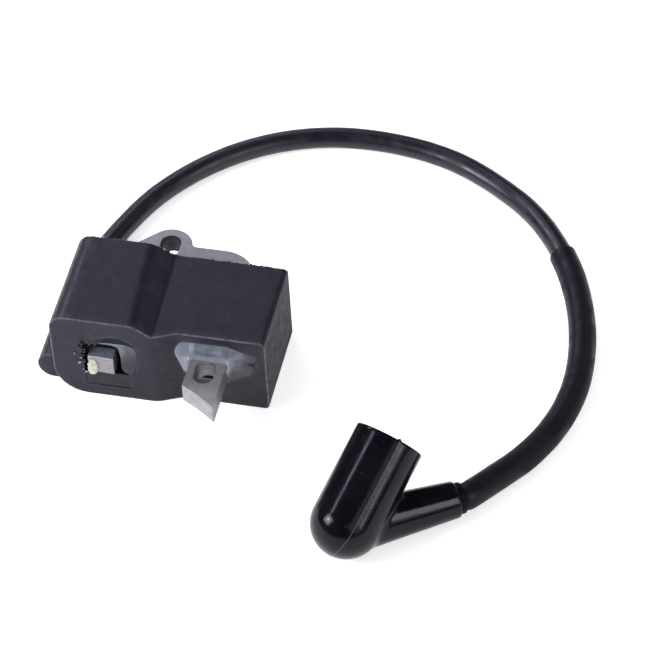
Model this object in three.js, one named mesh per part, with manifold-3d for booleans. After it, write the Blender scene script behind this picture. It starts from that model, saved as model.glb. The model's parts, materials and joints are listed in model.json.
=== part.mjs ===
// Ignition coil of a small two-stroke engine: a potted two-lobe housing with a laminated core, a
// high-tension lead with a protective sleeve, and an angled spark-plug boot.
// Millimetres, +Z up, the housing stands on z = 0. X runs along the front face, Y from front to back.
import * as THREE from 'three';
import { ConvexGeometry } from 'three/addons/geometries/ConvexGeometry.js';
import { mergeVertices } from 'three/addons/utils/BufferGeometryUtils.js';
import Module from 'manifold-3d';

// Housing
const LEFT_X = -26;
const RIGHT_X = 32.1;
const FRONT_Y = -18.5;
const RIGHT_FRONT_Y = -15.7;
const BACK_Y = 12.6;
const LEFT_TOP_Z = 28.3;
const RIGHT_TOP_Z = 25.1;
const VALLEY_X = 2;
const STRIP_END_X = 8.4;
const TOP_CORNER_R = 4.5;
const BOTTOM_CORNER_R = 9;
const EDGE_R = 1.2;
const WALL = 1.6;
const FRONT_WALL = 1.8;
// The left lobe's right-hand slope, as [x, z] at the front face and at the back edge
const FRONT_SLOPE = [[-5.2, 28.3], [-3.2, 27.95], [-1.4, 27.3], [VALLEY_X, 25.1]];
const BACK_SLOPE = [[-6.8, 28.3], [-4.6, 27.85], [-2.8, 27.1], [VALLEY_X - 1, 25.1]];
const SLOPE_INSET = 1.4;

// Tower that holds the lead's end
const TOWER_LEFT_X = -32.1;
const TOWER_FRONT_Y = -14.3;
const TOWER_BACK_Y = 10.5;
const TOWER_R = 4.3;
const LEAD_X = -28.2;
const LEAD_EXIT_Z = 3.75;
const TOWER_BORE_R = 3.12;
const TOWER_BORE_END_Y = -12.2;

// Core
const LAMINATION_COUNT = 6;
const LAMINATION_PITCH = 1;
const LAMINATION_THICKNESS = 0.97;
const CORE_BOTTOM_Z = 9.4;
const CORE_TOP_Z = CORE_BOTTOM_Z + LAMINATION_COUNT * LAMINATION_PITCH;
const POLE_LEFT_X = -16;
const POLE_RIGHT_X = -9;
const LEG_LEFT_X = 11.3;
const LEG_RIGHT_X = 21.2;
const FLYWHEEL_X = -13.6;
const FLYWHEEL_Y = -74.1;
const FLYWHEEL_R = 55.3;
const YOKE_FRONT_Y = 15.5;
const YOKE_BACK_Y = 25.5;
const YOKE_CORNER_R = 10;
const LUG_X = -4.3;
const LUG_Y = 25;
const LUG_R = 6.1;
const LUG_FILLET_X = 2;
const SLOT_R = 2.8;
const SLOT_HALF_LENGTH = 4;
const LUG_SLOT_Y = 24.6;
const LEG_SLOT_X = 16.1;
const LEG_SLOT_Y = -19.2;
const CORE_CLEARANCE = 0.15;
const SLOPE_DEGREES = 135;
const GLUE = { x0: -15.8, x1: -13.1, y0: -19.5, y1: -19.05, z0: 9.7, z1: 15 };

// Clear resin in the two openings. The leg's pool is drawn in towards its middle to clear the wall.
const LEG_RESIN_CENTRE_Z = 15;
const LEG_RESIN_SHARE_X = 0.985;
const LEG_RESIN_SHARE_Z = 0.98;
const LEG_RESIN_SUNK = 0.6;
const POLE_RESIN = [[-7.2, 9.5], [-5.3, 9.5], [-5.3, 19.6], [-8.5, 20.2], [-7.2, 16]];
const POLE_RESIN_SUNK = 0.7;
const POTTING_BACK_Y = BACK_Y - 0.7;
const POCKET_GAP = 0.3;

// Openings in the front wall, as [x, z]
const WINDOW = { left: -17.3, right: -5.2, bottom: 4, top: 20.4 };
// The bobbin's end that closes the window under the pole, as [x, z]
const BOBBIN_LIP = [[-17.15, 4.15], [-5.25, 4.4], [-5.25, 9.2], [-17.15, 9.2]];
const BOBBIN_LIP_SUNK = 0.05;
// The bobbin's end wall that stands behind the window, about the pole
const BOBBIN_END = { left: -17.15, right: -8.7, bottom: 9, top: 20.2, frontY: -15.5 };
const LEG_OPENING = [
  [9.6, 9.9], [12.5, 8.6], [20.5, 8.4], [28, 12.9], [29.7, 19.2], [21.6, 22.3], [8.6, 21.9], [7.2, 18.7],
];

// Coil, about the pole's middle line
const COIL_X = (POLE_LEFT_X + POLE_RIGHT_X) / 2;
const COIL_Z = (CORE_BOTTOM_Z + CORE_TOP_Z) / 2;
const COIL_FRONT_Y = -14.1;
const COIL_BACK_Y = 9.7;
const COIL_SPACE_R = 10.2;
const FLANGE = 1.2;
const COIL_CORE_R = 0.5;
const PRIMARY_TUBE_R = 6.1;
const PRIMARY_WIRE_R = 7.3;
const PRIMARY_FLANGE_R = 7.6;
const SECONDARY_INNER_R = 7.9;
const SECONDARY_TUBE_R = 8.5;
const SECONDARY_WIRE_R = 9.6;
const SECONDARY_FIN_R = 9.9;
const CHAMBERS = 4;
const FIN = 0.8;
const PIECE_GAP = 0.1;

// Electronics, above the right leg
const BOARD = { x0: 5, x1: 28.6, y0: -11, y1: 8.5, z0: 16.7, z1: 17.9 };
const BOARD_TOP_Z = BOARD.z1 + 0.1;
const ELECTRONICS_TOP_Z = 23.2;
const CAPACITOR = { x0: 14, x1: 27, y0: -9.5, y1: -4, height: 4.8 };
const THYRISTOR = [[8, -9], [12.6, -9], [12.6, -6.6], [11.4, -5.4], [9.2, -5.4], [8, -6.6]];
const THYRISTOR_HEIGHT = 4.4;
const DIODE = { radius: 1.3, x0: 8, x1: 13, y: 5.5 };
const RESISTOR = { radius: 0.95, x0: 16, x1: 20.5, ys: [0, 5.5] };
const EARTH_STRIP = { x: (LEG_LEFT_X + LEG_RIGHT_X) / 2, halfWidth: 1.5, halfDepth: 2 };
const TERMINAL_X = 26;
const TERMINAL_THICKNESS = 0.8;
const TERMINAL_FRONT_Y = 2;
const TERMINAL_RISER_Y = 6;
const TERMINAL_BACK_Y = 20;
const TERMINAL_BOTTOM_Z = 6;
const TERMINAL_TOP_Z = 10.8;
const TERMINAL_CORNER = 0.8;
const HT_WIRE_Y = -10.6;
const HT_WIRE_R = 0.6;
const COIL_WIRE_YS = [-6, 3];
const COIL_WIRE_Z = 19;
const COIL_WIRE_R = 0.4;
const COIL_WIRE_LEFT_X = -4;
const COIL_WIRE_OVERLAP = 0.9;
const HT_PIN_R = 0.8;
const HT_WIRE_LEFT_X = LEAD_X + 1.1;
const HT_WIRE_RIGHT_X = COIL_X - 6;

// Lead, sleeve and boot
const LEAD_R = 2.97;
const LEAD_START_Y = -8.5;
const SLEEVE_R = 3.7;
const SLEEVE_BORE_R = 3.25;
const SLEEVE_FIRST_STEP = 30;
const CORD_SIDES = 12;
const FREE_STEPS = 46;
const BOOT_R = 9.33;
const BOOT_LENGTH = 24.4;
const BOOT_TURN = THREE.MathUtils.degToRad(21.5);
const BOOT_TILT = THREE.MathUtils.degToRad(30);
const ELBOW = new THREE.Vector3(62.65, -58.5, 9.36);
const ARM_ROOT = new THREE.Vector3(62.7, -58.4, 7);
const ARM_END = new THREE.Vector3(87.9, -42, 5.1);
const ARM_ROOT_R = 6.9;
const ARM_END_R = 4.9;
const ARM_BORE_R = 3.3;
const SOCKET_R = 5.6;
const SOCKET_BOTTOM = 6;
const CHAMBER_R = 4.4;
const CHAMBER_BOTTOM = -3.2;
const LEAD_END_IN_ARM = 9;
const RING_R = 4.2;
const RING_WIDTH = 1.2;
const FACE_GAP = 0.3;
// Helical contact spring on the boot's axis
const SPRING_R = 3;
const SPRING_WIRE_R = 0.4;
const SPRING_START = -2;
const SPRING_TURNS = 5;
const SPRING_PITCH = 1.5;
const SPRING_STEPS_PER_TURN = 12;
// Where the free lead lies: it leaves the tower, makes one loose arc behind the housing and comes round
// the right-hand side to the boot.
const ROUTE = [
  [-28.2, 10.5, 3.75], [-28.2, 16, 3.6], [-27.6, 24, 3.1], [-24, 37.5, 3], [-16.2, 55.5, 3],
  [-4.2, 70.5, 3], [10.5, 81, 3], [27, 86.5, 3], [45, 87, 3], [62.8, 83, 3],
  [79.5, 73.5, 3.1], [91.2, 62.8, 3.7], [101.2, 48, 3.75], [107.8, 31.5, 3.75], [111, 15.5, 3.75],
  [111.2, 1.5, 3.75], [108.4, -11.5, 3.75], [103, -23, 3.75], [95.8, -33, 4.1],
];

const wasm = await Module();
wasm.setup();

function toManifold(geometry) {
  const bare = geometry.clone();
  bare.deleteAttribute('normal');
  bare.deleteAttribute('uv');
  const merged = mergeVertices(bare, 1e-4);
  return new wasm.Manifold(new wasm.Mesh({
    numProp: 3,
    vertProperties: new Float32Array(merged.attributes.position.array),
    triVerts: new Uint32Array(merged.index.array),
  }));
}

function toGeometry(manifold) {
  const mesh = manifold.getMesh();
  const geometry = new THREE.BufferGeometry();
  geometry.setAttribute('position', new THREE.BufferAttribute(new Float32Array(mesh.vertProperties), 3));
  geometry.setIndex(new THREE.BufferAttribute(new Uint32Array(mesh.triVerts), 1));
  geometry.computeVertexNormals();
  return geometry;
}

// first plus every geometry in added, minus every geometry in cut
function combine(first, added, cut = []) {
  let solid = toManifold(first);
  for (const geometry of added) {
    solid = solid.add(toManifold(geometry));
  }
  for (const geometry of cut) {
    solid = solid.subtract(toManifold(geometry));
  }
  return toGeometry(solid);
}

function arc(x, y, radius, fromDegrees, toDegrees, steps) {
  const points = [];
  for (let i = 0; i <= steps; i += 1) {
    const angle = THREE.MathUtils.degToRad(fromDegrees + ((toDegrees - fromDegrees) * i) / steps);
    points.push([x + radius * Math.cos(angle), y + radius * Math.sin(angle)]);
  }
  return points;
}

function outline(points) {
  return new THREE.Shape(points.map(([x, y]) => new THREE.Vector2(x, y)));
}

function box(x0, x1, y0, y1, z0, z1) {
  const geometry = new THREE.BoxGeometry(x1 - x0, y1 - y0, z1 - z0);
  return geometry.translate((x0 + x1) / 2, (y0 + y1) / 2, (z0 + z1) / 2);
}

// A shape drawn in X and Y, raised from z0 to z1
function prismZ(shape, z0, z1) {
  const geometry = new THREE.ExtrudeGeometry(shape, { depth: z1 - z0, bevelEnabled: false });
  return geometry.translate(0, 0, z0);
}

// Points drawn in X and Z, drawn out from y0 to y1
function prismY(points, y0, y1) {
  const geometry = new THREE.ExtrudeGeometry(outline(points), { depth: y1 - y0, bevelEnabled: false });
  return geometry.rotateX(Math.PI / 2).translate(0, y1, 0);
}

// Points drawn in Y and Z, drawn out from x0 to x1
function prismX(points, x0, x1) {
  const geometry = new THREE.ExtrudeGeometry(outline(points), { depth: x1 - x0, bevelEnabled: false });
  const turn = new THREE.Matrix4().makeBasis(
    new THREE.Vector3(0, 1, 0),
    new THREE.Vector3(0, 0, 1),
    new THREE.Vector3(1, 0, 0),
  );
  return geometry.applyMatrix4(turn).translate(x0, 0, 0);
}

function rodX(radius, x0, x1, y, z, sides = 12) {
  const geometry = new THREE.CylinderGeometry(radius, radius, x1 - x0, sides);
  return geometry.rotateZ(Math.PI / 2).translate((x0 + x1) / 2, y, z);
}

function rodY(radius, y0, y1, x, z, sides = 12) {
  return new THREE.CylinderGeometry(radius, radius, y1 - y0, sides).translate(x, (y0 + y1) / 2, z);
}

// A ring about the coil's middle line
function coilRing(inner, outer, y0, y1) {
  const profile = [[inner, y0], [outer, y0], [outer, y1], [inner, y1], [inner, y0]];
  const geometry = new THREE.LatheGeometry(profile.map(([r, y]) => new THREE.Vector2(r, y)), 32);
  return geometry.translate(COIL_X, 0, COIL_Z);
}

function hull(points) {
  return new ConvexGeometry(points.map(([x, y, z]) => new THREE.Vector3(x, y, z)));
}

const part = new THREE.Group();

function addPiece(name, geometry, color, roughness, metalness = 0) {
  const material = new THREE.MeshStandardMaterial({ color, roughness, metalness });
  const mesh = new THREE.Mesh(geometry, material);
  mesh.name = name;
  part.add(mesh);
  return mesh;
}

// --- Housing and potting ---

// The two lobes as one solid. inset moves every wall inwards, and front and back are where it starts
// behind the front faces and where it ends.
function lobes(inset, front, back) {
  const leftSection = (slope) => [
    ...arc(LEFT_X + BOTTOM_CORNER_R, BOTTOM_CORNER_R, BOTTOM_CORNER_R - inset, 180, 270, 6),
    [VALLEY_X, inset],
    ...slope.map(([x, z]) => [x, z - inset * SLOPE_INSET]),
    ...arc(LEFT_X + TOP_CORNER_R, LEFT_TOP_Z - TOP_CORNER_R, TOP_CORNER_R - inset, 90, 180, 4),
  ];
  const left = hull([
    ...leftSection(FRONT_SLOPE).map(([x, z]) => [x, FRONT_Y + front, z]),
    ...leftSection(BACK_SLOPE).map(([x, z]) => [x, back, z]),
  ]);
  const frontValleyZ = FRONT_SLOPE[3][1] - inset * SLOPE_INSET;
  const backValleyZ = BACK_SLOPE[3][1] - inset;
  const strip = hull([
    [VALLEY_X - 1, FRONT_Y + front, inset],
    [VALLEY_X - 1, FRONT_Y + front, frontValleyZ],
    [VALLEY_X, FRONT_Y + front, inset],
    [VALLEY_X, FRONT_Y + front, frontValleyZ],
    [STRIP_END_X, RIGHT_FRONT_Y + front, inset],
    [STRIP_END_X, RIGHT_FRONT_Y + front, RIGHT_TOP_Z - inset],
    [VALLEY_X - 1, back, inset],
    [VALLEY_X - 1, back, backValleyZ],
    [STRIP_END_X, back, inset],
    [STRIP_END_X, back, RIGHT_TOP_Z - inset],
  ]);
  const edge = Math.max(EDGE_R, inset + PIECE_GAP);
  const right = prismY([
    [STRIP_END_X - PIECE_GAP, inset],
    [RIGHT_X - edge, inset],
    [RIGHT_X - inset, edge],
    [RIGHT_X - inset, RIGHT_TOP_Z - edge],
    [RIGHT_X - edge, RIGHT_TOP_Z - inset],
    [STRIP_END_X - PIECE_GAP, RIGHT_TOP_Z - inset],
  ], RIGHT_FRONT_Y + front, back);
  return combine(left, [strip, right]);
}

const tower = prismY([
  [LEFT_X + BOTTOM_CORNER_R, 0],
  [LEFT_X + BOTTOM_CORNER_R, 2 * TOWER_R],
  ...arc(TOWER_LEFT_X + TOWER_R, TOWER_R, TOWER_R, 90, 270, 12),
], TOWER_FRONT_Y, TOWER_BACK_Y);

const inside = lobes(WALL, FRONT_WALL, BACK_Y + 1);
const housing = combine(combine(lobes(0, 0, BACK_Y), [tower]), [], [
  inside,
  box(WINDOW.left, WINDOW.right, FRONT_Y - 1, FRONT_Y + FRONT_WALL + 1, WINDOW.bottom, WINDOW.top),
  prismY(LEG_OPENING, RIGHT_FRONT_Y - 1, RIGHT_FRONT_Y + FRONT_WALL + 1),
  rodY(TOWER_BORE_R, TOWER_BORE_END_Y, TOWER_BACK_Y + 1, LEAD_X, LEAD_EXIT_Z, 24),
  rodX(HT_WIRE_R + POCKET_GAP, LEAD_X, LEFT_X + BOTTOM_CORNER_R, HT_WIRE_Y, LEAD_EXIT_Z),
]);
addPiece('housing', housing, 0x2b2b33, 0.55);

const poleChannel = box(
  POLE_LEFT_X - CORE_CLEARANCE,
  POLE_RIGHT_X + CORE_CLEARANCE,
  FRONT_Y - 1,
  BACK_Y + 1,
  CORE_BOTTOM_Z - CORE_CLEARANCE,
  CORE_TOP_Z + CORE_CLEARANCE,
);
const legChannel = box(
  LEG_LEFT_X - CORE_CLEARANCE,
  LEG_RIGHT_X + CORE_CLEARANCE,
  RIGHT_FRONT_Y - 1,
  BACK_Y + 1,
  CORE_BOTTOM_Z - CORE_CLEARANCE,
  CORE_TOP_Z + CORE_CLEARANCE,
);
const potting = combine(lobes(WALL + PIECE_GAP, FRONT_WALL + PIECE_GAP, BACK_Y + 1), [], [
  box(2 * LEFT_X, 2 * RIGHT_X, POTTING_BACK_Y, BACK_Y + 2, -1, LEFT_TOP_Z + 1),
  poleChannel,
  legChannel,
  prismY(LEG_OPENING, RIGHT_FRONT_Y, RIGHT_FRONT_Y + FRONT_WALL + PIECE_GAP),
  rodY(COIL_SPACE_R, COIL_FRONT_Y - PIECE_GAP, COIL_BACK_Y + PIECE_GAP, COIL_X, COIL_Z, 32),
  box(WINDOW.left, WINDOW.right, FRONT_Y, COIL_FRONT_Y + FLANGE / 2, WINDOW.bottom, WINDOW.top),
  box(
    BOARD.x0 - POCKET_GAP,
    BOARD.x1 + POCKET_GAP,
    BOARD.y0 - POCKET_GAP,
    BOARD.y1 + POCKET_GAP,
    BOARD.z0 - POCKET_GAP,
    ELECTRONICS_TOP_Z,
  ),
  box(
    EARTH_STRIP.x - EARTH_STRIP.halfWidth - POCKET_GAP,
    EARTH_STRIP.x + EARTH_STRIP.halfWidth + POCKET_GAP,
    -EARTH_STRIP.halfDepth - POCKET_GAP,
    EARTH_STRIP.halfDepth + POCKET_GAP,
    CORE_TOP_Z,
    BOARD.z0,
  ),
  box(
    TERMINAL_X - TERMINAL_THICKNESS / 2 - POCKET_GAP,
    TERMINAL_X + TERMINAL_THICKNESS / 2 + POCKET_GAP,
    TERMINAL_FRONT_Y - POCKET_GAP,
    BACK_Y,
    TERMINAL_BOTTOM_Z - POCKET_GAP,
    BOARD.z0,
  ),
  rodX(HT_WIRE_R + POCKET_GAP, LEFT_X, COIL_X, HT_WIRE_Y, LEAD_EXIT_Z),
  ...COIL_WIRE_YS.map((y) => rodX(COIL_WIRE_R + POCKET_GAP, COIL_X, BOARD.x0 + 1, y, COIL_WIRE_Z)),
]);
addPiece('potting', potting, 0x5d6472, 0.25);

const legResin = combine(
  prismY(
    LEG_OPENING.map(([x, z]) => [
      EARTH_STRIP.x + (x - EARTH_STRIP.x) * LEG_RESIN_SHARE_X,
      LEG_RESIN_CENTRE_Z + (z - LEG_RESIN_CENTRE_Z) * LEG_RESIN_SHARE_Z,
    ]),
    RIGHT_FRONT_Y + LEG_RESIN_SUNK,
    RIGHT_FRONT_Y + FRONT_WALL,
  ),
  [],
  [legChannel],
);
addPiece('leg_resin', legResin, 0x78828f, 0.15);

const poleResin = prismY(POLE_RESIN, FRONT_Y + POLE_RESIN_SUNK, COIL_FRONT_Y - PIECE_GAP);
addPiece('pole_resin', poleResin, 0x78828f, 0.15);

// --- Core ---

function flywheelArc(fromX, toX, steps) {
  const points = [];
  for (let i = 0; i <= steps; i += 1) {
    const x = fromX + ((toX - fromX) * i) / steps;
    points.push([x, FLYWHEEL_Y + Math.sqrt(FLYWHEEL_R ** 2 - (x - FLYWHEEL_X) ** 2)]);
  }
  return points;
}

function slot(x, y) {
  const straight = SLOT_HALF_LENGTH - SLOT_R;
  return new THREE.Path([
    ...arc(x, y + straight, SLOT_R, 0, 180, 8),
    ...arc(x, y - straight, SLOT_R, 180, 360, 8),
  ].map(([px, py]) => new THREE.Vector2(px, py)));
}

const lugSlopeEnd = LUG_Y + LUG_R * Math.SQRT2 - (LUG_X - POLE_LEFT_X);
const laminationShape = outline([
  ...flywheelArc(POLE_LEFT_X, POLE_RIGHT_X, 2),
  [POLE_RIGHT_X, YOKE_FRONT_Y],
  [LEG_LEFT_X, YOKE_FRONT_Y],
  ...flywheelArc(LEG_LEFT_X, LEG_RIGHT_X, 4),
  ...arc(LEG_RIGHT_X - YOKE_CORNER_R, YOKE_BACK_Y - YOKE_CORNER_R, YOKE_CORNER_R, 0, 90, 6),
  [LUG_FILLET_X + 0.6, YOKE_BACK_Y],
  ...arc(LUG_X, LUG_Y, LUG_R, 10, SLOPE_DEGREES, 10),
  [POLE_LEFT_X, lugSlopeEnd],
]);
laminationShape.holes.push(slot(LUG_X, LUG_SLOT_Y), slot(LEG_SLOT_X, LEG_SLOT_Y));
for (let i = 0; i < LAMINATION_COUNT; i += 1) {
  const z = CORE_BOTTOM_Z + i * LAMINATION_PITCH;
  const plate = prismZ(laminationShape, z, z + LAMINATION_THICKNESS);
  addPiece(`core_lamination_${i + 1}`, plate, 0x8f8d93, 0.4, 0.85);
}

addPiece('glue_dab', box(GLUE.x0, GLUE.x1, GLUE.y0, GLUE.y1, GLUE.z0, GLUE.z1), 0xcfc7a8, 0.5);

// --- Coil ---

const primaryBobbin = combine(
  coilRing(COIL_CORE_R, PRIMARY_TUBE_R, COIL_FRONT_Y, COIL_BACK_Y),
  [
    coilRing(PRIMARY_TUBE_R - 1, PRIMARY_FLANGE_R, COIL_FRONT_Y, COIL_FRONT_Y + FLANGE),
    coilRing(PRIMARY_TUBE_R - 1, PRIMARY_FLANGE_R, COIL_BACK_Y - FLANGE, COIL_BACK_Y),
    prismY(BOBBIN_LIP, FRONT_Y + BOBBIN_LIP_SUNK, COIL_FRONT_Y + FLANGE / 2 - PIECE_GAP),
    box(
      BOBBIN_END.left,
      BOBBIN_END.right,
      BOBBIN_END.frontY,
      COIL_FRONT_Y + FLANGE / 2 - PIECE_GAP,
      BOBBIN_END.bottom,
      BOBBIN_END.top,
    ),
  ],
  [poleChannel],
);
addPiece('primary_bobbin', primaryBobbin, 0x24242a, 0.6);
addPiece(
  'primary_winding',
  coilRing(
    PRIMARY_TUBE_R + PIECE_GAP,
    PRIMARY_WIRE_R,
    COIL_FRONT_Y + FLANGE + PIECE_GAP,
    COIL_BACK_Y - FLANGE - PIECE_GAP,
  ),
  0xa35b35,
  0.35,
  0.6,
);

const secondaryFront = COIL_FRONT_Y + FLANGE;
const secondaryBack = COIL_BACK_Y - FLANGE;
const chamber = (secondaryBack - secondaryFront - FIN) / CHAMBERS;
const fins = [];
for (let i = 0; i <= CHAMBERS; i += 1) {
  const y = secondaryFront + i * chamber;
  fins.push(coilRing(SECONDARY_TUBE_R - 0.3, SECONDARY_FIN_R, y, y + FIN));
}
const secondaryBobbin = combine(
  coilRing(SECONDARY_INNER_R, SECONDARY_TUBE_R, secondaryFront, secondaryBack),
  fins,
);
addPiece('secondary_bobbin', secondaryBobbin, 0xd8d2c0, 0.6);
for (let i = 0; i < CHAMBERS; i += 1) {
  const y = secondaryFront + FIN + i * chamber;
  addPiece(
    `secondary_winding_${i + 1}`,
    coilRing(SECONDARY_TUBE_R + PIECE_GAP, SECONDARY_WIRE_R, y + PIECE_GAP, y + chamber - FIN - PIECE_GAP),
    0xb56c3d,
    0.35,
    0.6,
  );
}

// --- Electronics ---

addPiece('circuit_board', box(BOARD.x0, BOARD.x1, BOARD.y0, BOARD.y1, BOARD.z0, BOARD.z1), 0x2f6b45, 0.6);
addPiece(
  'capacitor',
  box(CAPACITOR.x0, CAPACITOR.x1, CAPACITOR.y0, CAPACITOR.y1, BOARD_TOP_Z, BOARD_TOP_Z + CAPACITOR.height),
  0xb5432a,
  0.5,
);
const thyristor = prismZ(outline(THYRISTOR), BOARD_TOP_Z, BOARD_TOP_Z + THYRISTOR_HEIGHT);
addPiece('thyristor', thyristor, 0x1d1d1f, 0.5);
const diodeZ = BOARD_TOP_Z + DIODE.radius + PIECE_GAP;
addPiece('diode', rodX(DIODE.radius, DIODE.x0, DIODE.x1, DIODE.y, diodeZ), 0x1f1f22, 0.4);
const resistorZ = BOARD_TOP_Z + RESISTOR.radius + PIECE_GAP;
RESISTOR.ys.forEach((y, i) => {
  const resistor = rodX(RESISTOR.radius, RESISTOR.x0, RESISTOR.x1, y, resistorZ);
  addPiece(`resistor_${i + 1}`, resistor, 0xc9b48a, 0.5);
});
addPiece(
  'earth_strip',
  box(
    EARTH_STRIP.x - EARTH_STRIP.halfWidth,
    EARTH_STRIP.x + EARTH_STRIP.halfWidth,
    -EARTH_STRIP.halfDepth,
    EARTH_STRIP.halfDepth,
    CORE_TOP_Z + PIECE_GAP,
    BOARD.z0 - PIECE_GAP,
  ),
  0xb9bcc2,
  0.35,
  0.9,
);
const stopTerminal = prismX(
  [
    [TERMINAL_FRONT_Y, TERMINAL_BOTTOM_Z],
    [TERMINAL_BACK_Y - TERMINAL_CORNER, TERMINAL_BOTTOM_Z],
    [TERMINAL_BACK_Y, TERMINAL_BOTTOM_Z + TERMINAL_CORNER],
    [TERMINAL_BACK_Y, TERMINAL_TOP_Z - TERMINAL_CORNER],
    [TERMINAL_BACK_Y - TERMINAL_CORNER, TERMINAL_TOP_Z],
    [TERMINAL_RISER_Y, TERMINAL_TOP_Z],
    [TERMINAL_RISER_Y, BOARD.z0 - PIECE_GAP],
    [TERMINAL_FRONT_Y, BOARD.z0 - PIECE_GAP],
  ],
  TERMINAL_X - TERMINAL_THICKNESS / 2,
  TERMINAL_X + TERMINAL_THICKNESS / 2,
);
addPiece('stop_terminal', stopTerminal, 0xc9ccd0, 0.3, 0.95);
COIL_WIRE_YS.forEach((y, i) => {
  const wire = rodX(COIL_WIRE_R, COIL_WIRE_LEFT_X, BOARD.x0 + COIL_WIRE_OVERLAP, y, COIL_WIRE_Z, 8);
  addPiece(`coil_wire_${i + 1}`, wire, 0xa35b35, 0.4, 0.6);
});
addPiece(
  'high_tension_wire',
  rodX(HT_WIRE_R, HT_WIRE_LEFT_X, HT_WIRE_RIGHT_X, HT_WIRE_Y, LEAD_EXIT_Z, 8),
  0xb9bcc2,
  0.35,
  0.9,
);
addPiece(
  'high_tension_pin',
  rodY(HT_PIN_R, TOWER_BORE_END_Y + FACE_GAP, LEAD_START_Y - FACE_GAP, LEAD_X, LEAD_EXIT_Z, 8),
  0xb9bcc2,
  0.35,
  0.9,
);

// --- Lead and sleeve ---

// Straight lines between given points that are all one step apart
class StepPath extends THREE.Curve {
  constructor(points) {
    super();
    this.points = points;
  }

  getPointAt(u) {
    const at = Math.min(Math.max(u, 0), 1) * (this.points.length - 1);
    const i = Math.min(Math.floor(at), this.points.length - 2);
    return this.points[i].clone().lerp(this.points[i + 1], at - i);
  }

  getPoint(t) {
    return this.getPointAt(t);
  }

  getSpacedPoints() {
    return this.points.map((point) => point.clone());
  }

  getTangentAt(u) {
    const at = Math.round(u * (this.points.length - 1));
    const before = this.points[Math.max(at - 1, 0)];
    const after = this.points[Math.min(at + 1, this.points.length - 1)];
    return after.clone().sub(before).normalize();
  }
}

function ringShape(outer, inner, sides) {
  const shape = outline(arc(0, 0, outer, 0, 360 - 360 / sides, sides - 1));
  if (inner > 0) {
    const bore = arc(0, 0, inner / Math.cos(Math.PI / sides), 0, 360 - 360 / sides, sides - 1);
    shape.holes.push(new THREE.Path(bore.map(([x, y]) => new THREE.Vector2(x, y))));
  }
  return shape;
}

function tube(points, outer, inner, sides) {
  const path = new StepPath(points);
  return new THREE.ExtrudeGeometry(ringShape(outer, inner, sides), {
    steps: points.length - 1,
    extrudePath: path,
    bevelEnabled: false,
  });
}

const armAxis = ARM_END.clone().sub(ARM_ROOT).normalize();
const armLength = ARM_END.distanceTo(ARM_ROOT);
const onArm = (distance) => ARM_ROOT.clone().addScaledVector(armAxis, distance);
const ringStart = armLength + FACE_GAP;
const sleeveEnd = ringStart + RING_WIDTH + FACE_GAP;

const freeCurve = new THREE.CatmullRomCurve3([
  ...ROUTE.map(([x, y, z]) => new THREE.Vector3(x, y, z)),
  onArm(sleeveEnd + 1.5),
], false, 'centripetal');
const freePoints = freeCurve.getSpacedPoints(FREE_STEPS);
const leadPoints = [
  new THREE.Vector3(LEAD_X, LEAD_START_Y, LEAD_EXIT_Z),
  new THREE.Vector3(LEAD_X, (LEAD_START_Y + TOWER_BACK_Y) / 2, LEAD_EXIT_Z),
  ...freePoints,
  onArm(sleeveEnd),
  onArm((armLength + LEAD_END_IN_ARM) / 2),
  onArm(LEAD_END_IN_ARM),
];
addPiece('lead', tube(leadPoints, LEAD_R, 0, CORD_SIDES), 0x1f1f28, 0.4);
const sleevePoints = [...freePoints.slice(SLEEVE_FIRST_STEP), onArm(sleeveEnd)];
addPiece('lead_sleeve', tube(sleevePoints, SLEEVE_R, SLEEVE_BORE_R, CORD_SIDES), 0x222226, 0.6);

// --- Boot ---

// Turns a solid made about the Y axis so that the axis runs along direction from base
function along(geometry, base, direction) {
  const turn = new THREE.Quaternion().setFromUnitVectors(new THREE.Vector3(0, 1, 0), direction);
  return geometry.applyQuaternion(turn).translate(base.x, base.y, base.z);
}

function lathe(profile, sides) {
  return new THREE.LatheGeometry(profile.map(([r, y]) => new THREE.Vector2(r, y)), sides);
}

const bodyAxis = new THREE.Vector3(
  Math.sin(BOOT_TURN) * Math.cos(BOOT_TILT),
  Math.cos(BOOT_TURN) * Math.cos(BOOT_TILT),
  Math.sin(BOOT_TILT),
);
const bodyProfile = [
  [0, -BOOT_R],
  ...arc(0, 0, BOOT_R, -80, 0, 8),
  [BOOT_R, BOOT_LENGTH - 0.5],
  [BOOT_R - 0.5, BOOT_LENGTH],
  [0, BOOT_LENGTH],
];
const cavityProfile = [
  [0, CHAMBER_BOTTOM],
  [CHAMBER_R, CHAMBER_BOTTOM],
  [CHAMBER_R, SOCKET_BOTTOM - 1.2],
  [SOCKET_R, SOCKET_BOTTOM],
  [SOCKET_R, BOOT_LENGTH - 0.5],
  [SOCKET_R + 1, BOOT_LENGTH + 0.5],
  [0, BOOT_LENGTH + 0.5],
];
const armProfile = [
  [0, 0],
  [ARM_ROOT_R, 0],
  [ARM_END_R, armLength - 0.4],
  [ARM_END_R - 0.4, armLength],
  [0, armLength],
];
const armBore = [[0, 2], [ARM_BORE_R, 2], [ARM_BORE_R, armLength + 1], [0, armLength + 1]];
const boot = combine(
  along(lathe(bodyProfile, 32), ELBOW, bodyAxis),
  [along(lathe(armProfile, 24), ARM_ROOT, armAxis)],
  [along(lathe(cavityProfile, 32), ELBOW, bodyAxis), along(lathe(armBore, 24), ARM_ROOT, armAxis)],
);
addPiece('boot', boot, 0x0f0f13, 0.2);

const ringProfile = [
  [ARM_BORE_R, ringStart],
  [RING_R, ringStart],
  [RING_R, ringStart + RING_WIDTH],
  [ARM_BORE_R, ringStart + RING_WIDTH],
  [ARM_BORE_R, ringStart],
];
addPiece('boot_ring', along(lathe(ringProfile, 24), ARM_ROOT, armAxis), 0x08080a, 0.5);

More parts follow.
